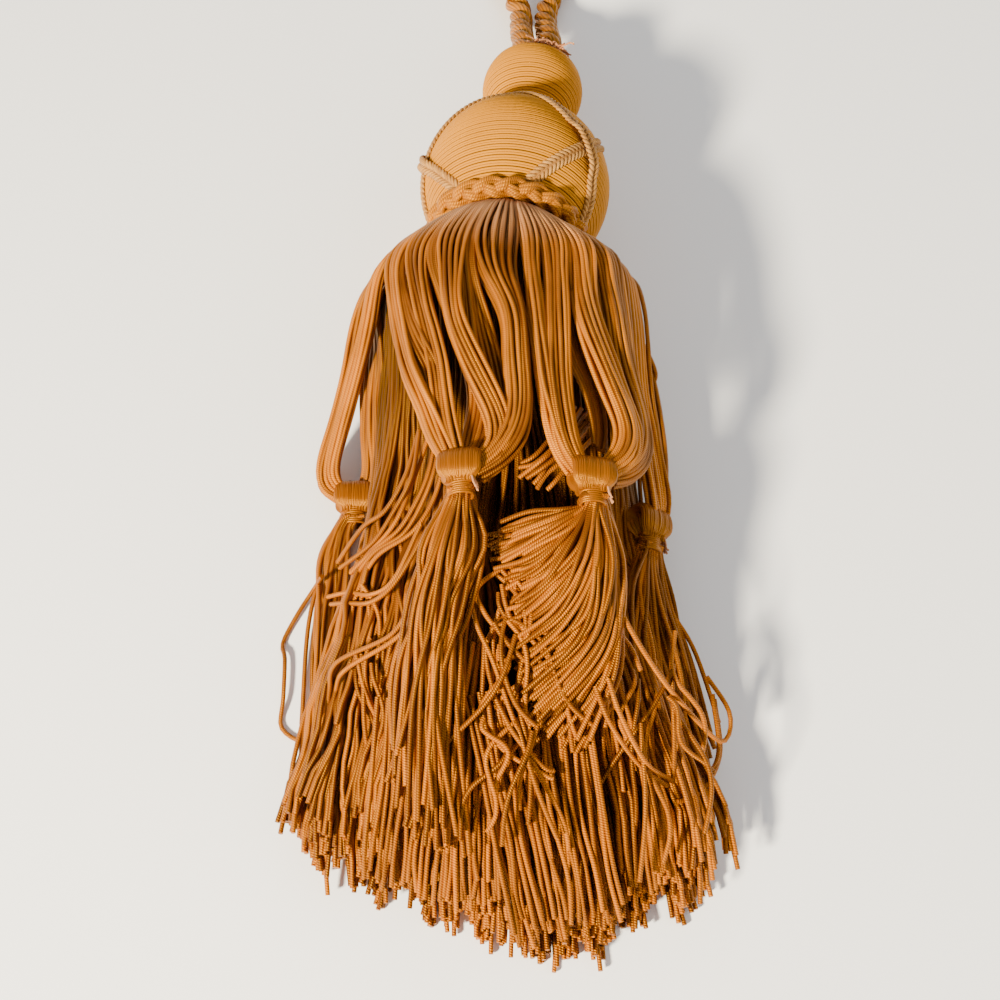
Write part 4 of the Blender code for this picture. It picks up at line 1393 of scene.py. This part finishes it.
@dataclass
class OuterSkirt:
    """Hanks of cord that hang from the band and run into the small tassels' heads."""

    sections: tuple[Section, ...] = (
        Section(SHOULDER_Y, -0.0465, 0.0370, 0.0034, 0.0630),
        Section(-0.078, -0.0465, 0.0405, 0.0034, 0.0650),
        Section(-0.104, -0.0460, 0.0425, 0.0034, 0.0610),
    )
    roundness: tuple[float, float] = (0.9, 0.8)
    half_step: float = 0.02
    radius: float = 0.00078
    band: tuple[tuple[float, float], ...] = (
        (0.0215, -0.0278),
        (0.0232, -0.0302),
        (0.0272, -0.0346),
    )
    layer_drop: float = 0.0008
    shoulders: tuple[Shoulder, ...] = (Shoulder(-0.041, 0.7, 0.0), Shoulder(-0.056, 0.9, 0.30))
    middle: tuple[float, float, float] = (-0.0048, 0.0, 0.0300)
    widths: tuple[float, float, float] = (0.90, 0.86, 0.62)
    closeness: float = 0.9
    taper_ends: tuple[float, float] = (0.14, 0.30)
    taper: tuple[float, float] = (0.8, 1.0)
    own_tint: float = 0.7
    lock_tint: float = 0.3
    layer_scatter: float = 0.35
    band_scatter: float = 0.3
    scatter: tuple[float, float, float] = (0.00028, 0.000084, 0.000196)
    sway: Drift = Drift(0.00018, 0.050)
    length: float = 0.10
    stations: int = 44
    relaxing: int = 8

    def _oval(self, angle: np.ndarray, y: float) -> np.ndarray:
        """Place points on the layer's oval at one station.

        Args:
            angle: Radians, from the top towards the right.
            y: The station along the floor.

        Returns:
            The points.
        """
        left, right, floor, top = reach_at(self.sections, np.full(angle.shape, y))
        sine, cosine = np.sin(angle), np.cos(angle)
        across, upwards = self.roundness
        x = 0.5 * (left + right) + 0.5 * (right - left) * np.sign(sine) * np.abs(sine) ** across
        z = 0.5 * (floor + top) + 0.5 * (top - floor) * np.sign(cosine) * np.abs(cosine) ** upwards
        return np.stack((x, np.full(angle.shape, y), z), axis=-1)

    def _outward(self, angle: np.ndarray, y: float) -> np.ndarray:
        """Point out of the oval at one station.

        Args:
            angle: Radians, from the top towards the right.
            y: The station along the floor.

        Returns:
            The directions.
        """
        step = self.half_step
        along = unit(self._oval(angle + step, y) - self._oval(angle - step, y))
        return np.stack((-along[..., 2], np.zeros(angle.shape), along[..., 0]), axis=-1)

    def _lock(self, lock: Lock, rng: np.random.Generator) -> np.ndarray:
        """Draw one lock's cords.

        Args:
            lock: The lock.
            rng: The source of chance.

        Returns:
            Paths shaped (cords, points, 3).
        """
        number = np.arange(lock.cords)
        across = (number + 0.5) / lock.cords * 2.0 - 1.0
        depth = number % lock.layers - 0.5 * (lock.layers - 1)
        depth = depth + rng.uniform(-self.layer_scatter, self.layer_scatter, lock.cords)
        layer = depth[:, None] * 2.0 * self.radius
        middle, half_angle = 0.5 * (lock.first + lock.last), 0.5 * (lock.last - lock.first)
        jitter = rng.uniform(-self.band_scatter, self.band_scatter, lock.cords)
        jitter = jitter * (lock.last - lock.first) / lock.cords
        azimuth = np.radians(middle + half_angle * across + jitter)
        lowest = self.layer_drop * (lock.layers - 1 - number % lock.layers)
        points = [
            on_head(head_point(azimuth, radius - sunk, height - sunk))
            for (radius, height), sunk in zip(self.band, (0.0, lowest, lowest))
        ]
        for shoulder in self.shoulders if lock.facing is None else self.shoulders[:1]:
            angle = azimuth + shoulder.gather * (math.radians(middle) - azimuth)
            away = self._outward(angle, shoulder.y)
            points.append(self._oval(angle, shoulder.y) + away * shoulder.spread * layer)
        route = np.array(lock.route) / TENTHS
        ahead = unit(np.gradient(route, axis=0))
        out = route - self.middle
        if lock.facing is not None:
            facing = math.radians(lock.facing)
            out[:] = (math.sin(facing), 0.0, math.cos(facing))
        out[:, 1] = 0.0
        side = unit(np.cross(unit(out), ahead))
        out = unit(np.cross(ahead, side))
        half = lock.cords / lock.layers * self.radius
        last = len(route) - 1
        widths = np.interp(np.arange(len(route)), (0, last - 1, last), self.widths)
        for k, centre in enumerate(route):
            spot = centre + side[k] * (across * half * widths[k])[:, None]
            spot = spot + out[k] * self.closeness * layer
            points.append(spot + rng.normal(0.0, 1.0, spot.shape) * self.scatter)
        paths = relaxed(smooth_paths(np.stack(points, axis=1), self.stations), self.relaxing)
        way = np.linspace(0.0, self.length, self.stations)
        sway = wander(rng, lock.cords, way, self.sway.reach, self.sway.wave)
        return above_floor(paths + sway[..., None] * side[1], self.radius)

    def build(self, finish: bpy.types.Material, rng: np.random.Generator) -> None:
        """Make the hanks as one piece.

        Args:
            finish: The skirt cord's material.
            rng: The source of chance.
        """
        bundle = CordBundle("outer_skirt_hanks")
        share = np.linspace(0.0, 1.0, self.stations)
        thickness = np.interp(share, self.taper_ends, self.taper)
        for lock in LOCKS:
            paths = self._lock(lock, rng)
            tints = self.own_tint * rng.random(len(paths)) + self.lock_tint * rng.random()
            # Painted shade: a shaded lock's tints are scaled down.
            bundle.lay(paths, self.radius * thickness, tint=lock.painted_shade_scale * tints)
        bundle.piece(finish, ("outer_skirt",))


@dataclass(frozen=True)
class Fall:
    """How a small tassel's cords fall: guide cords from its left side to its right one."""

    across: int
    layers: int
    guides: tuple[Route, ...]


@dataclass(frozen=True)
class Hank:
    """Where a hank's small tassel hangs, which way it faces and how its cords fall.

    Its place and its guide cords are in tenths of a millimetre, and its turn in degrees.
    """

    place: tuple[int, int, int]
    turn: float
    fall: Fall

    @property
    def roll(self) -> np.ndarray:
        """Return the middle of the small tassel's roll."""
        return np.array(self.place) / TENTHS

    @property
    def sideways(self) -> np.ndarray:
        """Return the small tassel's sideways direction."""
        turn = math.radians(self.turn)
        return np.array((math.cos(turn), 0.0, -math.sin(turn)))

    @property
    def outward(self) -> np.ndarray:
        """Return the direction that the small tassel faces."""
        turn = math.radians(self.turn)
        return np.array((math.sin(turn), 0.0, math.cos(turn)))


HANKS = (
    Hank((-170, -1250, 600), -12, Fall(13, 6, (
        ((-211, -1348, 580), (-282, -1496, 560), (-312, -1648, 530), (-332, -1833, 490),
         (-364, -2132, 410)),
        ((-176, -1359, 600), (-217, -1545, 590), (-247, -1731, 550), (-269, -1968, 495),
         (-288, -2315, 380)),
        ((-141, -1351, 585), (-123, -1491, 570), (-176, -1666, 535), (-200, -1905, 480),
         (-189, -2335, 370)),
    ))),
    Hank((216, -1265, 575), 14, Fall(32, 4, (
        ((183, -1349, 540), (120, -1364, 550), (32, -1382, 540), (-65, -1404, 500)),
        ((190, -1366, 560), (119, -1421, 570), (17, -1470, 550), (-74, -1467, 500)),
        ((201, -1375, 570), (146, -1485, 580), (73, -1572, 560), (-27, -1613, 500)),
        ((215, -1380, 580), (188, -1550, 580), (115, -1689, 540), (-24, -1767, 470)),
        ((233, -1375, 570), (249, -1567, 550), (194, -1769, 510), (1, -1939, 440)),
        ((252, -1361, 550), (286, -1552, 520), (259, -1782, 470), (40, -2038, 410)),
        ((261, -1341, 520), (297, -1565, 480), (274, -1827, 430), (199, -2051, 380)),
    ))),
    Hank((408, -1260, 262), 42, Fall(14, 5, (
        ((385, -1375, 285), (345, -1509, 310), (340, -1699, 300), (360, -1976, 240)),
        ((415, -1385, 260), (420, -1530, 260), (455, -1771, 220), (505, -2052, 140)),
        ((445, -1372, 225), (490, -1485, 170), (560, -1650, 110), (625, -1940, 50)),
    ))),
    Hank((200, -1180, 46), 180, Fall(11, 3, (
        ((240, -1290, 20), (285, -1480, 12), (310, -1760, 10), (320, -2010, 10)),
        ((160, -1290, 20), (120, -1480, 12), (95, -1760, 10), (85, -2010, 10)),
    ))),
    Hank((-200, -1180, 46), 180, Fall(11, 3, (
        ((-160, -1290, 20), (-120, -1480, 12), (-95, -1760, 10), (-85, -2010, 10)),
        ((-240, -1290, 20), (-285, -1480, 12), (-310, -1760, 10), (-320, -2010, 10)),
    ))),
    Hank((-530, -1050, 46), 180, Fall(11, 4, (
        ((-537, -1160, 20), (-549, -1296, 14), (-556, -1541, 12), (-558, -1860, 12)),
        ((-564, -1165, 20), (-590, -1329, 14), (-597, -1555, 12), (-596, -1920, 12)),
        ((-592, -1160, 20), (-630, -1281, 14), (-640, -1500, 12), (-642, -1840, 12)),
    ))),
)


@dataclass(frozen=True)
class Floss:
    """One layer of a small tassel's floss: its strands, and how far in and how wide it lies."""

    strands: int
    shrink: float
    radius: float
    sides: int
    reach: float


@dataclass
class SideTassel:
    """A small tassel: floss folded over the hank, bound below it, and hanging as cut cords.

    The bale's rows give, from the neck over the front, the distance down, the distance out and how
    much wider than the neck the floss is there.
    """

    number: int
    hank: Hank
    half_length: float = 0.0064
    floss: tuple[Floss, ...] = (
        Floss(26, 1.0, 0.00036, 6, 1.0),
        Floss(9, 0.80, 0.0011, 4, 1.0),
        Floss(8, 0.52, 0.0011, 4, 0.90),
        Floss(8, 0.24, 0.0011, 4, 0.82),
    )
    floss_points: int = 24
    floss_jitter: float = 0.2
    floss_scatter: float = 0.00005
    floss_tints: tuple[float, float] = (0.2, 1.0)
    end_rounding: float = 0.26
    end_sharpness: int = 5
    bale: tuple[tuple[float, float, float], ...] = (
        (0.0062, 0.0024, 0.00),
        (0.0048, 0.0030, 0.05),
        (0.0041, 0.0041, 0.80),
        (0.0022, 0.0048, 1.00),
        (-0.0006, 0.0049, 1.00),
        (-0.0032, 0.0040, 1.00),
        (-0.0049, 0.0017, 1.00),
    )
    neck: tuple[float, float] = (0.0042, 0.0030)
    neck_start: float = 0.0048
    neck_end: float = 0.0104
    binding_turns: int = 8
    binding_steps: int = 32
    binding_radius: float = 0.00042
    binding_tint: float = 0.7
    binding_height: float = 0.00040
    binding_pinch: float = 0.10
    binding_taper: float = 0.14
    knots: int = 8
    knot_start: tuple[float, float, float] = (0.003864, 0.0052, 0.0018)
    knot_step: tuple[float, float] = (0.0005, 0.0012)
    knot_curl: float = 0.0010
    knot_points: int = 14
    knot_radius: float = 0.00030
    cord_points: int = 26
    layer_gap: float = 1.75 * CORD_RADIUS
    layer_scatter: float = 0.25
    spread: tuple[float, float] = (0.0003, 0.0006)
    spread_shares: tuple[float, float, float] = (1.0, 0.4, 0.6)
    root_fill: tuple[float, float] = (0.85, 0.75)
    root_depth: float = 0.0024
    unevenness: float = 0.16
    mostly_long: float = 1.5

    def _at(self, along: np.ndarray, down: np.ndarray, out: np.ndarray) -> np.ndarray:
        """Place points by their distances from the roll's middle.

        Args:
            along: Distances along the roll.
            down: Distances down the skirt.
            out: Distances outward.

        Returns:
            The points.
        """
        along, down, out = np.broadcast_arrays(along, down, out)
        return (
            self.hank.roll
            + along[..., None] * self.hank.sideways
            + down[..., None] * DOWN_SKIRT
            + out[..., None] * self.hank.outward
        )

    def _roll(self, bundle: CordBundle, rng: np.random.Generator) -> None:
        """Fold the floss over the hank, from the neck's front to its back.

        Args:
            bundle: Takes the floss.
            rng: The source of chance.
        """
        front = np.array(self.bale)
        down, out, wide = np.concatenate((front, front[::-1] * (1.0, -1.0, 1.0))).T
        for floss in self.floss:
            share = ((np.arange(floss.strands) + 0.5) / floss.strands * 2.0 - 1.0) * floss.reach
            jitter = rng.uniform(-self.floss_jitter, self.floss_jitter, floss.strands)
            share = share + jitter / floss.strands
            ends = self.end_rounding * np.abs(share) ** self.end_sharpness
            rounded = floss.shrink * (1.0 - ends)[:, None]
            along = share[:, None] * (self.neck[0] + (self.half_length - self.neck[0]) * wide)
            controls = self._at(along, down * (1.0 - (1.0 - rounded) * wide), out * rounded)
            paths = smooth_paths(controls, self.floss_points)
            paths = paths + rng.normal(0.0, self.floss_scatter, (floss.strands, 1, 3))
            bundle.lay(
                above_floor(paths, floss.radius),
                floss.radius,
                floss.sides,
                rng.uniform(*self.floss_tints, floss.strands),
                first_side=self.hank.sideways,
            )

    def _binding(self, bundle: CordBundle) -> None:
        """Wind the neck.

        Args:
            bundle: Takes the thread.
        """
        where = np.linspace(0.0, 1.0, self.binding_turns * self.binding_steps + 1)
        angle = math.tau * self.binding_turns * where
        pinch = 1.0 - self.binding_pinch * np.sin(math.pi * where) - self.binding_taper * where
        path = self._at(
            self.neck[0] * np.cos(angle) * pinch,
            self.neck_start + (self.neck_end - self.neck_start) * where,
            self.neck[1] * np.sin(angle) * pinch,
        )
        path = above_floor(path, self.binding_height)
        bundle.lay(path[None], self.binding_radius, tint=np.array([self.binding_tint]))

    def _knot(self, bundle: CordBundle, rng: np.random.Generator) -> None:
        """Leave the thread's ends in a small knot beside the neck.

        Args:
            bundle: Takes the thread.
            rng: The source of chance.
        """
        spin = rng.uniform(0.0, math.tau, (self.knots, 1))
        step = np.arange(4)
        along, down, out = self.knot_start
        controls = self._at(
            along + self.knot_step[0] * step,
            down + self.knot_step[1] * step + self.knot_curl * np.sin(spin + 2.0 * step),
            out + self.knot_curl * np.cos(spin + step),
        )
        knot = above_floor(smooth_paths(controls, self.knot_points), self.knot_radius)
        bundle.lay(knot, self.knot_radius, tint=np.full(self.knots, 1.0))

    def _cords(self, rng: np.random.Generator) -> np.ndarray:
        """Draw the cut cords that hang from the neck.

        Args:
            rng: The source of chance.

        Returns:
            Paths shaped (cords, points, 3).
        """
        fall = self.hank.fall
        guides = np.array(fall.guides) / TENTHS
        places = (np.arange(fall.across) + 0.5) / fall.across
        share, layer = np.meshgrid(places, np.arange(fall.layers) * 1.0, indexing="ij")
        share, layer = share.ravel(), layer.ravel()
        count = len(share)
        share = np.clip(share + rng.uniform(-0.5, 0.5, count) / fall.across, 0.0, 1.0)
        spot = share * (len(guides) - 1)
        before = np.minimum(spot.astype(int), len(guides) - 2)
        between = (spot - before)[:, None, None]
        place = guides[before] + (guides[before + 1] - guides[before]) * between
        deep = layer + rng.uniform(-self.layer_scatter, self.layer_scatter, count)
        place = place - deep[:, None, None] * self.layer_gap * self.hank.outward
        spread = self.spread[0] + self.spread[1] * np.arange(place.shape[1])[None, :, None]
        place = place + rng.normal(0.0, 1.0, place.shape) * spread * self.spread_shares
        inside = self._at(
            self.root_fill[0] * self.neck[0] * (2.0 * share - 1.0),
            np.full(count, self.neck_end - self.root_depth),
            self.root_fill[1] * self.neck[1] * (1.0 - 2.0 * layer / (fall.layers - 1)),
        )
        controls = np.concatenate((inside[:, None], place), axis=1)
        reach = 1.0 - self.unevenness * rng.random(count) ** self.mostly_long
        return above_floor(smooth_paths(controls, self.cord_points, reach), CORD_RADIUS)

    def build(
        self,
        satin: bpy.types.Material,
        cord: bpy.types.Material,
        thread: bpy.types.Material,
        rng: np.random.Generator,
    ) -> None:
        """Make the small tassel's head, its cords and its thread's knot.

        Args:
            satin: The floss's material.
            cord: The skirt cord's material.
            thread: The thread's material.
            rng: The source of chance.
        """
        node = (f"side_tassel_{self.number}",)
        head = CordBundle(f"small_tassel_head_{self.number}")
        self._roll(head, rng)
        self._binding(head)
        head.piece(satin, node)
        skirt = CordBundle(f"small_tassel_cords_{self.number}")
        paths = self._cords(rng)
        skirt.lay(paths, CORD_RADIUS, tint=rng.uniform(0.0, 1.0, len(paths)))
        skirt.piece(cord, node)
        knot = CordBundle(f"small_tassel_knot_{self.number}")
        self._knot(knot, rng)
        knot.piece(thread, node)


@dataclass(frozen=True)
class Stray:
    """Loose cords that leave the flow: how many lie side by side, and the way they take."""

    cords: int
    route: Route


STRAYS = (
    Stray(4, ((207, -971, 460), (131, -1114, 520), (66, -1202, 540), (-2, -1232, 520))),
    Stray(4, ((206, -1031, 440), (134, -1155, 500), (78, -1239, 520), (37, -1286, 500))),
    Stray(6, ((-266, -1031, 440), (-300, -1197, 420), (-360, -1320, 390), (-446, -1382, 330),
              (-537, -1441, 230))),
    Stray(2, ((-281, -1374, 430), (-360, -1514, 390), (-440, -1545, 340), (-529, -1510, 260),
              (-608, -1495, 170))),
    Stray(2, ((-303, -1652, 460), (-369, -1718, 430), (-508, -1763, 330), (-548, -1815, 250),
              (-555, -1914, 180))),
    Stray(1, ((-144, -1571, 480), (-114, -1685, 475), (-62, -1832, 460), (0, -2041, 420),
              (118, -2245, 340), (134, -2353, 280))),
    Stray(1, ((-41, -1729, 440), (-108, -1668, 470), (-103, -1591, 490), (-27, -1498, 480))),
    Stray(2, ((-56, -1519, 450), (-18, -1562, 490), (28, -1653, 500), (19, -1742, 480),
              (-42, -1749, 440))),
    Stray(1, ((271, -1588, 480), (291, -1666, 470), (377, -1786, 420), (452, -1877, 340),
              (587, -1942, 180), (619, -1852, 160), (541, -1738, 220))),
    Stray(2, ((235, -1872, 440), (266, -1977, 430), (354, -2077, 330), (451, -2111, 230))),
    Stray(2, ((586, -1812, 180), (604, -1973, 120), (510, -2105, 180), (433, -2158, 230))),
    Stray(2, ((-84, -1915, 440), (-28, -2036, 430), (70, -2117, 400), (113, -2118, 370))),
    Stray(1, ((62, -1490, 470), (-27, -1625, 480), (-56, -1782, 480), (-14, -1927, 460),
              (71, -2013, 420))),
    Stray(1, ((-600, -1368, 100), (-655, -1383, 30), (-700, -1460, 12), (-738, -1553, 10),
              (-746, -1622, 10), (-737, -1733, 10), (-719, -1829, 10), (-663, -1872, 20),
              (-600, -1895, 80))),
    Stray(1, ((380, -560, 330), (425, -605, 270), (449, -674, 200), (440, -728, 180),
              (400, -780, 200))),
    Stray(8, ((-108, -1736, 425), (-122, -1908, 400), (-138, -2128, 346), (-146, -2312, 280),
              (-140, -2450, 200))),
    Stray(7, ((-100, -1760, 405), (-110, -1930, 380), (-120, -2140, 330), (-122, -2330, 260),
              (-112, -2475, 180))),
    Stray(8, ((-85, -1884, 412), (-39, -2107, 365), (0, -2289, 300), (39, -2440, 232),
              (61, -2541, 180))),
    Stray(7, ((-60, -1920, 395), (-20, -2130, 345), (20, -2310, 280), (56, -2465, 210),
              (74, -2560, 160))),
    Stray(8, ((133, -1960, 375), (161, -2179, 318), (197, -2360, 252), (224, -2499, 185))),
    Stray(8, ((-331, -1905, 390), (-345, -2124, 333), (-360, -2296, 274), (-370, -2409, 215))),
    Stray(6, ((-209, -2152, 327), (-225, -2309, 272), (-235, -2448, 205))),
    Stray(9, ((340, -850, 230), (356, -1080, 205), (355, -1250, 175), (360, -1450, 140))),
)


@dataclass(frozen=True)
class Tangle:
    """A place where cut cords curl over each other.

    They run down the skirt, but for a lean in degrees towards the right, give or take the unruly.
    """

    middle: tuple[float, float, float]
    reach: tuple[float, float]
    cords: int
    length: float
    lean: float
    unruly: float


TANGLES = (
    Tangle((-0.0010, -0.1600, 0.0470), (0.0060, 0.0170), 24, 0.044, 20.0, 26.0),
    Tangle((-0.0020, -0.1900, 0.0430), (0.0070, 0.0120), 12, 0.036, 8.0, 22.0),
    Tangle((-0.0420, -0.1640, 0.0300), (0.0080, 0.0150), 10, 0.046, 4.0, 12.0),
    Tangle((0.0390, -0.1820, 0.0340), (0.0090, 0.0150), 10, 0.044, -4.0, 14.0),
)


@dataclass
class LooseCords:
    """Skirt cords that have slipped out and lie across the others."""

    gap: float = 0.0021
    scatter: float = 0.0007
    unevenness: float = 0.10
    stray_points: int = 36
    tints: tuple[float, float] = (0.3, 1.0)
    curl: float = 0.0034
    lengths: tuple[float, float] = (0.55, 1.1)
    swings: tuple[float, float] = (0.2, 1.0)
    waves: tuple[float, float] = (0.5, 1.3)
    curl_knots: int = 8
    curl_points: int = 24
    thickness: float = 0.0016
    arch: float = 0.0022
    droop: float = 0.0032
    slope: float = 0.16

    def _curled(self, tangle: Tangle, rng: np.random.Generator) -> np.ndarray:
        """Draw the curling cords of one tangle.

        Args:
            tangle: The tangle.
            rng: The source of chance.

        Returns:
            Paths shaped (cords, points, 3).
        """
        count = tangle.cords
        t = np.linspace(0.0, 1.0, self.curl_knots)
        reach = (*tangle.reach, self.thickness)
        start = np.array(tangle.middle) + rng.uniform(-1.0, 1.0, (count, 3)) * reach
        heading = np.radians(tangle.lean + tangle.unruly * rng.normal(0.0, 1.0, count) - 90.0)
        length = tangle.length * rng.uniform(*self.lengths, count)
        phase = rng.uniform(0.0, math.tau, count)
        swing = self.curl * rng.uniform(*self.swings, count)
        waves = rng.uniform(*self.waves, count)
        ahead = np.stack((np.cos(heading), np.sin(heading)), axis=-1)
        aside = np.stack((-ahead[:, 1], ahead[:, 0]), axis=-1)
        sway = np.sin(math.tau * waves[:, None] * t + phase[:, None]) * swing[:, None]
        run = length[:, None] * t
        paths = np.repeat(start[:, None], self.curl_knots, axis=1)
        paths[..., :2] += ahead[:, None] * run[..., None] + aside[:, None] * sway[..., None]
        paths[..., 2] += self.arch * np.sin(math.pi * t) - self.droop * t**2
        paths[..., 2] += self.slope * run * ahead[:, 1:]
        return smooth_paths(paths, self.curl_points)

    def build(self, finish: bpy.types.Material, rng: np.random.Generator) -> None:
        """Make the loose cords as one piece.

        Args:
            finish: The skirt cord's material.
            rng: The source of chance.
        """
        bundle = CordBundle("loose_skirt_cords")
        for stray in STRAYS:
            route = np.array(stray.route) / TENTHS
            ahead = unit(np.gradient(route, axis=0))
            side = unit(np.cross(UP, ahead))
            offsets = (np.arange(stray.cords) - 0.5 * (stray.cords - 1)) * self.gap
            controls = route + side * offsets[:, None, None]
            controls = controls + rng.normal(0.0, self.scatter, controls.shape)
            reach = 1.0 - self.unevenness * rng.random(stray.cords)
            paths = above_floor(smooth_paths(controls, self.stray_points, reach), CORD_RADIUS)
            bundle.lay(paths, CORD_RADIUS, tint=rng.uniform(*self.tints, stray.cords))
        for tangle in TANGLES:
            paths = self._curled(tangle, rng)
            bundle.lay(paths, CORD_RADIUS, tint=rng.uniform(0.0, 1.0, tangle.cords))
        bundle.piece(finish, ("inner_skirt",))


@dataclass(frozen=True)
class Lamp:
    """A round area light: where it hangs, its width, its power in watts and its colour."""

    name: str
    place: tuple[float, float, float]
    width: float
    power: float
    colour: tuple[float, float, float]

    def hang(self, target: Vector) -> None:
        """Add the light, facing a target.

        Args:
            target: The place that it faces.
        """
        data = bpy.data.lights.new(self.name, "AREA")
        data.shape = "DISK"
        data.size = self.width
        data.energy = self.power
        data.color = self.colour
        light = bpy.data.objects.new(self.name, data)
        light.location = self.place
        light.rotation_mode = "QUATERNION"
        light.rotation_quaternion = (target - Vector(self.place)).to_track_quat("-Z", "Y")
        bpy.context.scene.collection.objects.link(light)


@dataclass
class Studio:
    """The camera, the pale floor and the soft lights."""

    camera_place: tuple[float, float, float] = (-0.0056, -0.3740, 0.4940)
    pitch_down: float = 61.3
    focal_pixels: float = 1700.0
    frame_pixels: float = 1000.0
    sensor: float = 36.0
    floor_reach: float = 3.0
    floor_colour: tuple[float, float, float] = (0.96, 0.96, 0.96)
    floor_roughness: float = 0.9
    world_colour: tuple[float, float, float] = (0.93, 0.96, 1.0)
    world_strength: float = 0.40
    target: tuple[float, float, float] = (0.0, -0.02, 0.02)
    lamps: tuple[Lamp, ...] = (
        Lamp("key", (-0.74, -0.88, 0.78), 0.18, 82.0, (1.0, 0.90, 0.70)),
        Lamp("fill", (0.9, -0.3, 0.9), 1.2, 7.0, (1.0, 0.95, 0.88)),
        Lamp("rear", (0.0, 1.1, 0.9), 1.0, 5.0, (1.0, 0.98, 0.95)),
    )

    def _camera(self) -> None:
        """Add the camera at the photograph's viewing angle."""
        data = bpy.data.cameras.new("photo_camera")
        data.sensor_width = self.sensor
        data.lens = self.focal_pixels / self.frame_pixels * self.sensor
        camera = bpy.data.objects.new("photo_camera", data)
        camera.location = np.array(self.camera_place) + ROW_OFFSET
        camera.rotation_euler = (math.radians(90.0 - self.pitch_down), 0.0, 0.0)
        bpy.context.scene.collection.objects.link(camera)
        bpy.context.scene.camera = camera

    def _floor(self) -> None:
        """Add the floor."""
        mesh = bpy.data.meshes.new("floor")
        reach = self.floor_reach
        signs = ((-1, -1), (1, -1), (1, 1), (-1, 1))
        corners = [(x * reach, y * reach, 0.0) for x, y in signs]
        mesh.from_pydata(corners, [], [(0, 1, 2, 3)])
        floor = bpy.data.objects.new("floor", mesh)
        bpy.context.scene.collection.objects.link(floor)
        paper = bpy.data.materials.new("pale_floor")
        paper.use_nodes = True
        shader = paper.node_tree.nodes["Principled BSDF"]
        shader.inputs["Base Color"].default_value = (*self.floor_colour, 1.0)
        shader.inputs["Roughness"].default_value = self.floor_roughness
        mesh.materials.append(paper)

    def build(self) -> None:
        """Set up the stage."""
        self._camera()
        self._floor()
        for lamp in self.lamps:
            lamp.hang(Vector(self.target))
        world = bpy.data.worlds.new("studio")
        world.use_nodes = True
        background = world.node_tree.nodes["Background"]
        background.inputs["Color"].default_value = (*self.world_colour, 1.0)
        background.inputs["Strength"].default_value = self.world_strength
        bpy.context.scene.world = world


SKIRT_CORD = YarnFinish(
    "skirt_cord", (0.47, 0.125, 0.003), (0.100, 0.021, 0.002), (0.040, 0.0075, 0.001),
    rib_pitch=0.74, twist=2, rib_relief=0.00013, rib_shade=0.60, roughness=0.42, sheen=0.06,
    tint=Tint.STRONG,
)
# The skirt cord with painted shade over the upper part of each cord, where the hanks above shadow
# it.
INNER_CORD_ROOT_SHADE = replace(
    SKIRT_CORD, name="inner_skirt_cord_root_shade", root_reflection_and_shade=(0.032, 0.007, 0.001), root_share=2.3,
    root_reach=0.60,
)
# The skirt cord in a lighter tone, a painted highlight over the hanks, with a pale painted
# reflection at their roots.
HANK_CORD_PAINTED_LIGHT = replace(
    SKIRT_CORD, name="hank_cord_painted_light", light=(0.68, 0.205, 0.008), root_share=1.0, root_reach=0.24
)
WINDING = YarnFinish(
    "winding_cord", (0.62, 0.245, 0.001), (0.46, 0.165, 0.001), (0.07, 0.022, 0.005),
    rib_pitch=0.45, twist=2, valley_shade=0.80, rib_relief=0.00005, rib_shade=0.18, roughness=0.42,
    sheen=0.08, tint=Tint.EVEN, index=1.5, shine=0.4,
)
GIMP = YarnFinish(
    "gimp_braid", (0.52, 0.27, 0.080), (0.22, 0.085, 0.020), (0.08, 0.024, 0.006),
    rib_pitch=0.5, rib_relief=0.00006, rib_shade=0.25, sheen=0.08,
)
PLAIT = YarnFinish(
    "ruff_plait", (0.56, 0.185, 0.002), (0.18, 0.050, 0.005), (0.05, 0.014, 0.002),
    rib_pitch=0.8, rib_relief=0.00013, rib_shade=0.42, sheen=0.08,
)
ROPE = YarnFinish(
    "rope_yarn", (0.50, 0.165, 0.008), (0.11, 0.027, 0.002), (0.03, 0.007, 0.001),
    rib_pitch=2.0, twist=-9, rib_relief=0.00022, rib_shade=0.60, roughness=0.36, sheen=0.08,
    shine=1.0,
)
SATIN = YarnFinish(
    "satin_binding", (0.27, 0.075, 0.001), (0.11, 0.027, 0.001), (0.04, 0.010, 0.001),
    rib_pitch=0.5, rib_relief=0.00003, rib_shade=0.15, roughness=0.34, sheen=0.06, shine=1.0,
)
WHIPPING_THREAD = YarnFinish(
    "whipping_thread", (0.56, 0.26, 0.13), (0.30, 0.10, 0.035), (0.12, 0.038, 0.012),
    rib_pitch=0.4, rib_relief=0.00003, rib_shade=0.2, roughness=0.7, sheen=0.15, index=1.5,
    shine=0.3,
)


def main() -> None:
    """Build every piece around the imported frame."""
    logging.basicConfig(level=logging.INFO, format="%(message)s")
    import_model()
    Studio().build()
    rng = np.random.default_rng(SEED)
    skirt_cord = SKIRT_CORD.material()
    satin = SATIN.material()
    rope = RopeLoop()
    rope.build(ROPE.material())
    thread = WHIPPING_THREAD.material()
    Whipping().build(rope, thread, rng)
    WoundHead().build(WINDING.material(), rng)
    GimpBraids().build(GIMP.material(), rng)
    PlaitedRuff().build(PLAIT.material(), rng)
    InnerSkirt().build(INNER_CORD_ROOT_SHADE.material(), rng)
    OuterSkirt().build(HANK_CORD_PAINTED_LIGHT.material(), rng)
    for number, hank in enumerate(HANKS, start=1):
        SideTassel(number, hank).build(satin, skirt_cord, thread, rng)
    LooseCords().build(skirt_cord, rng)


if __name__ == "__main__":
    main()
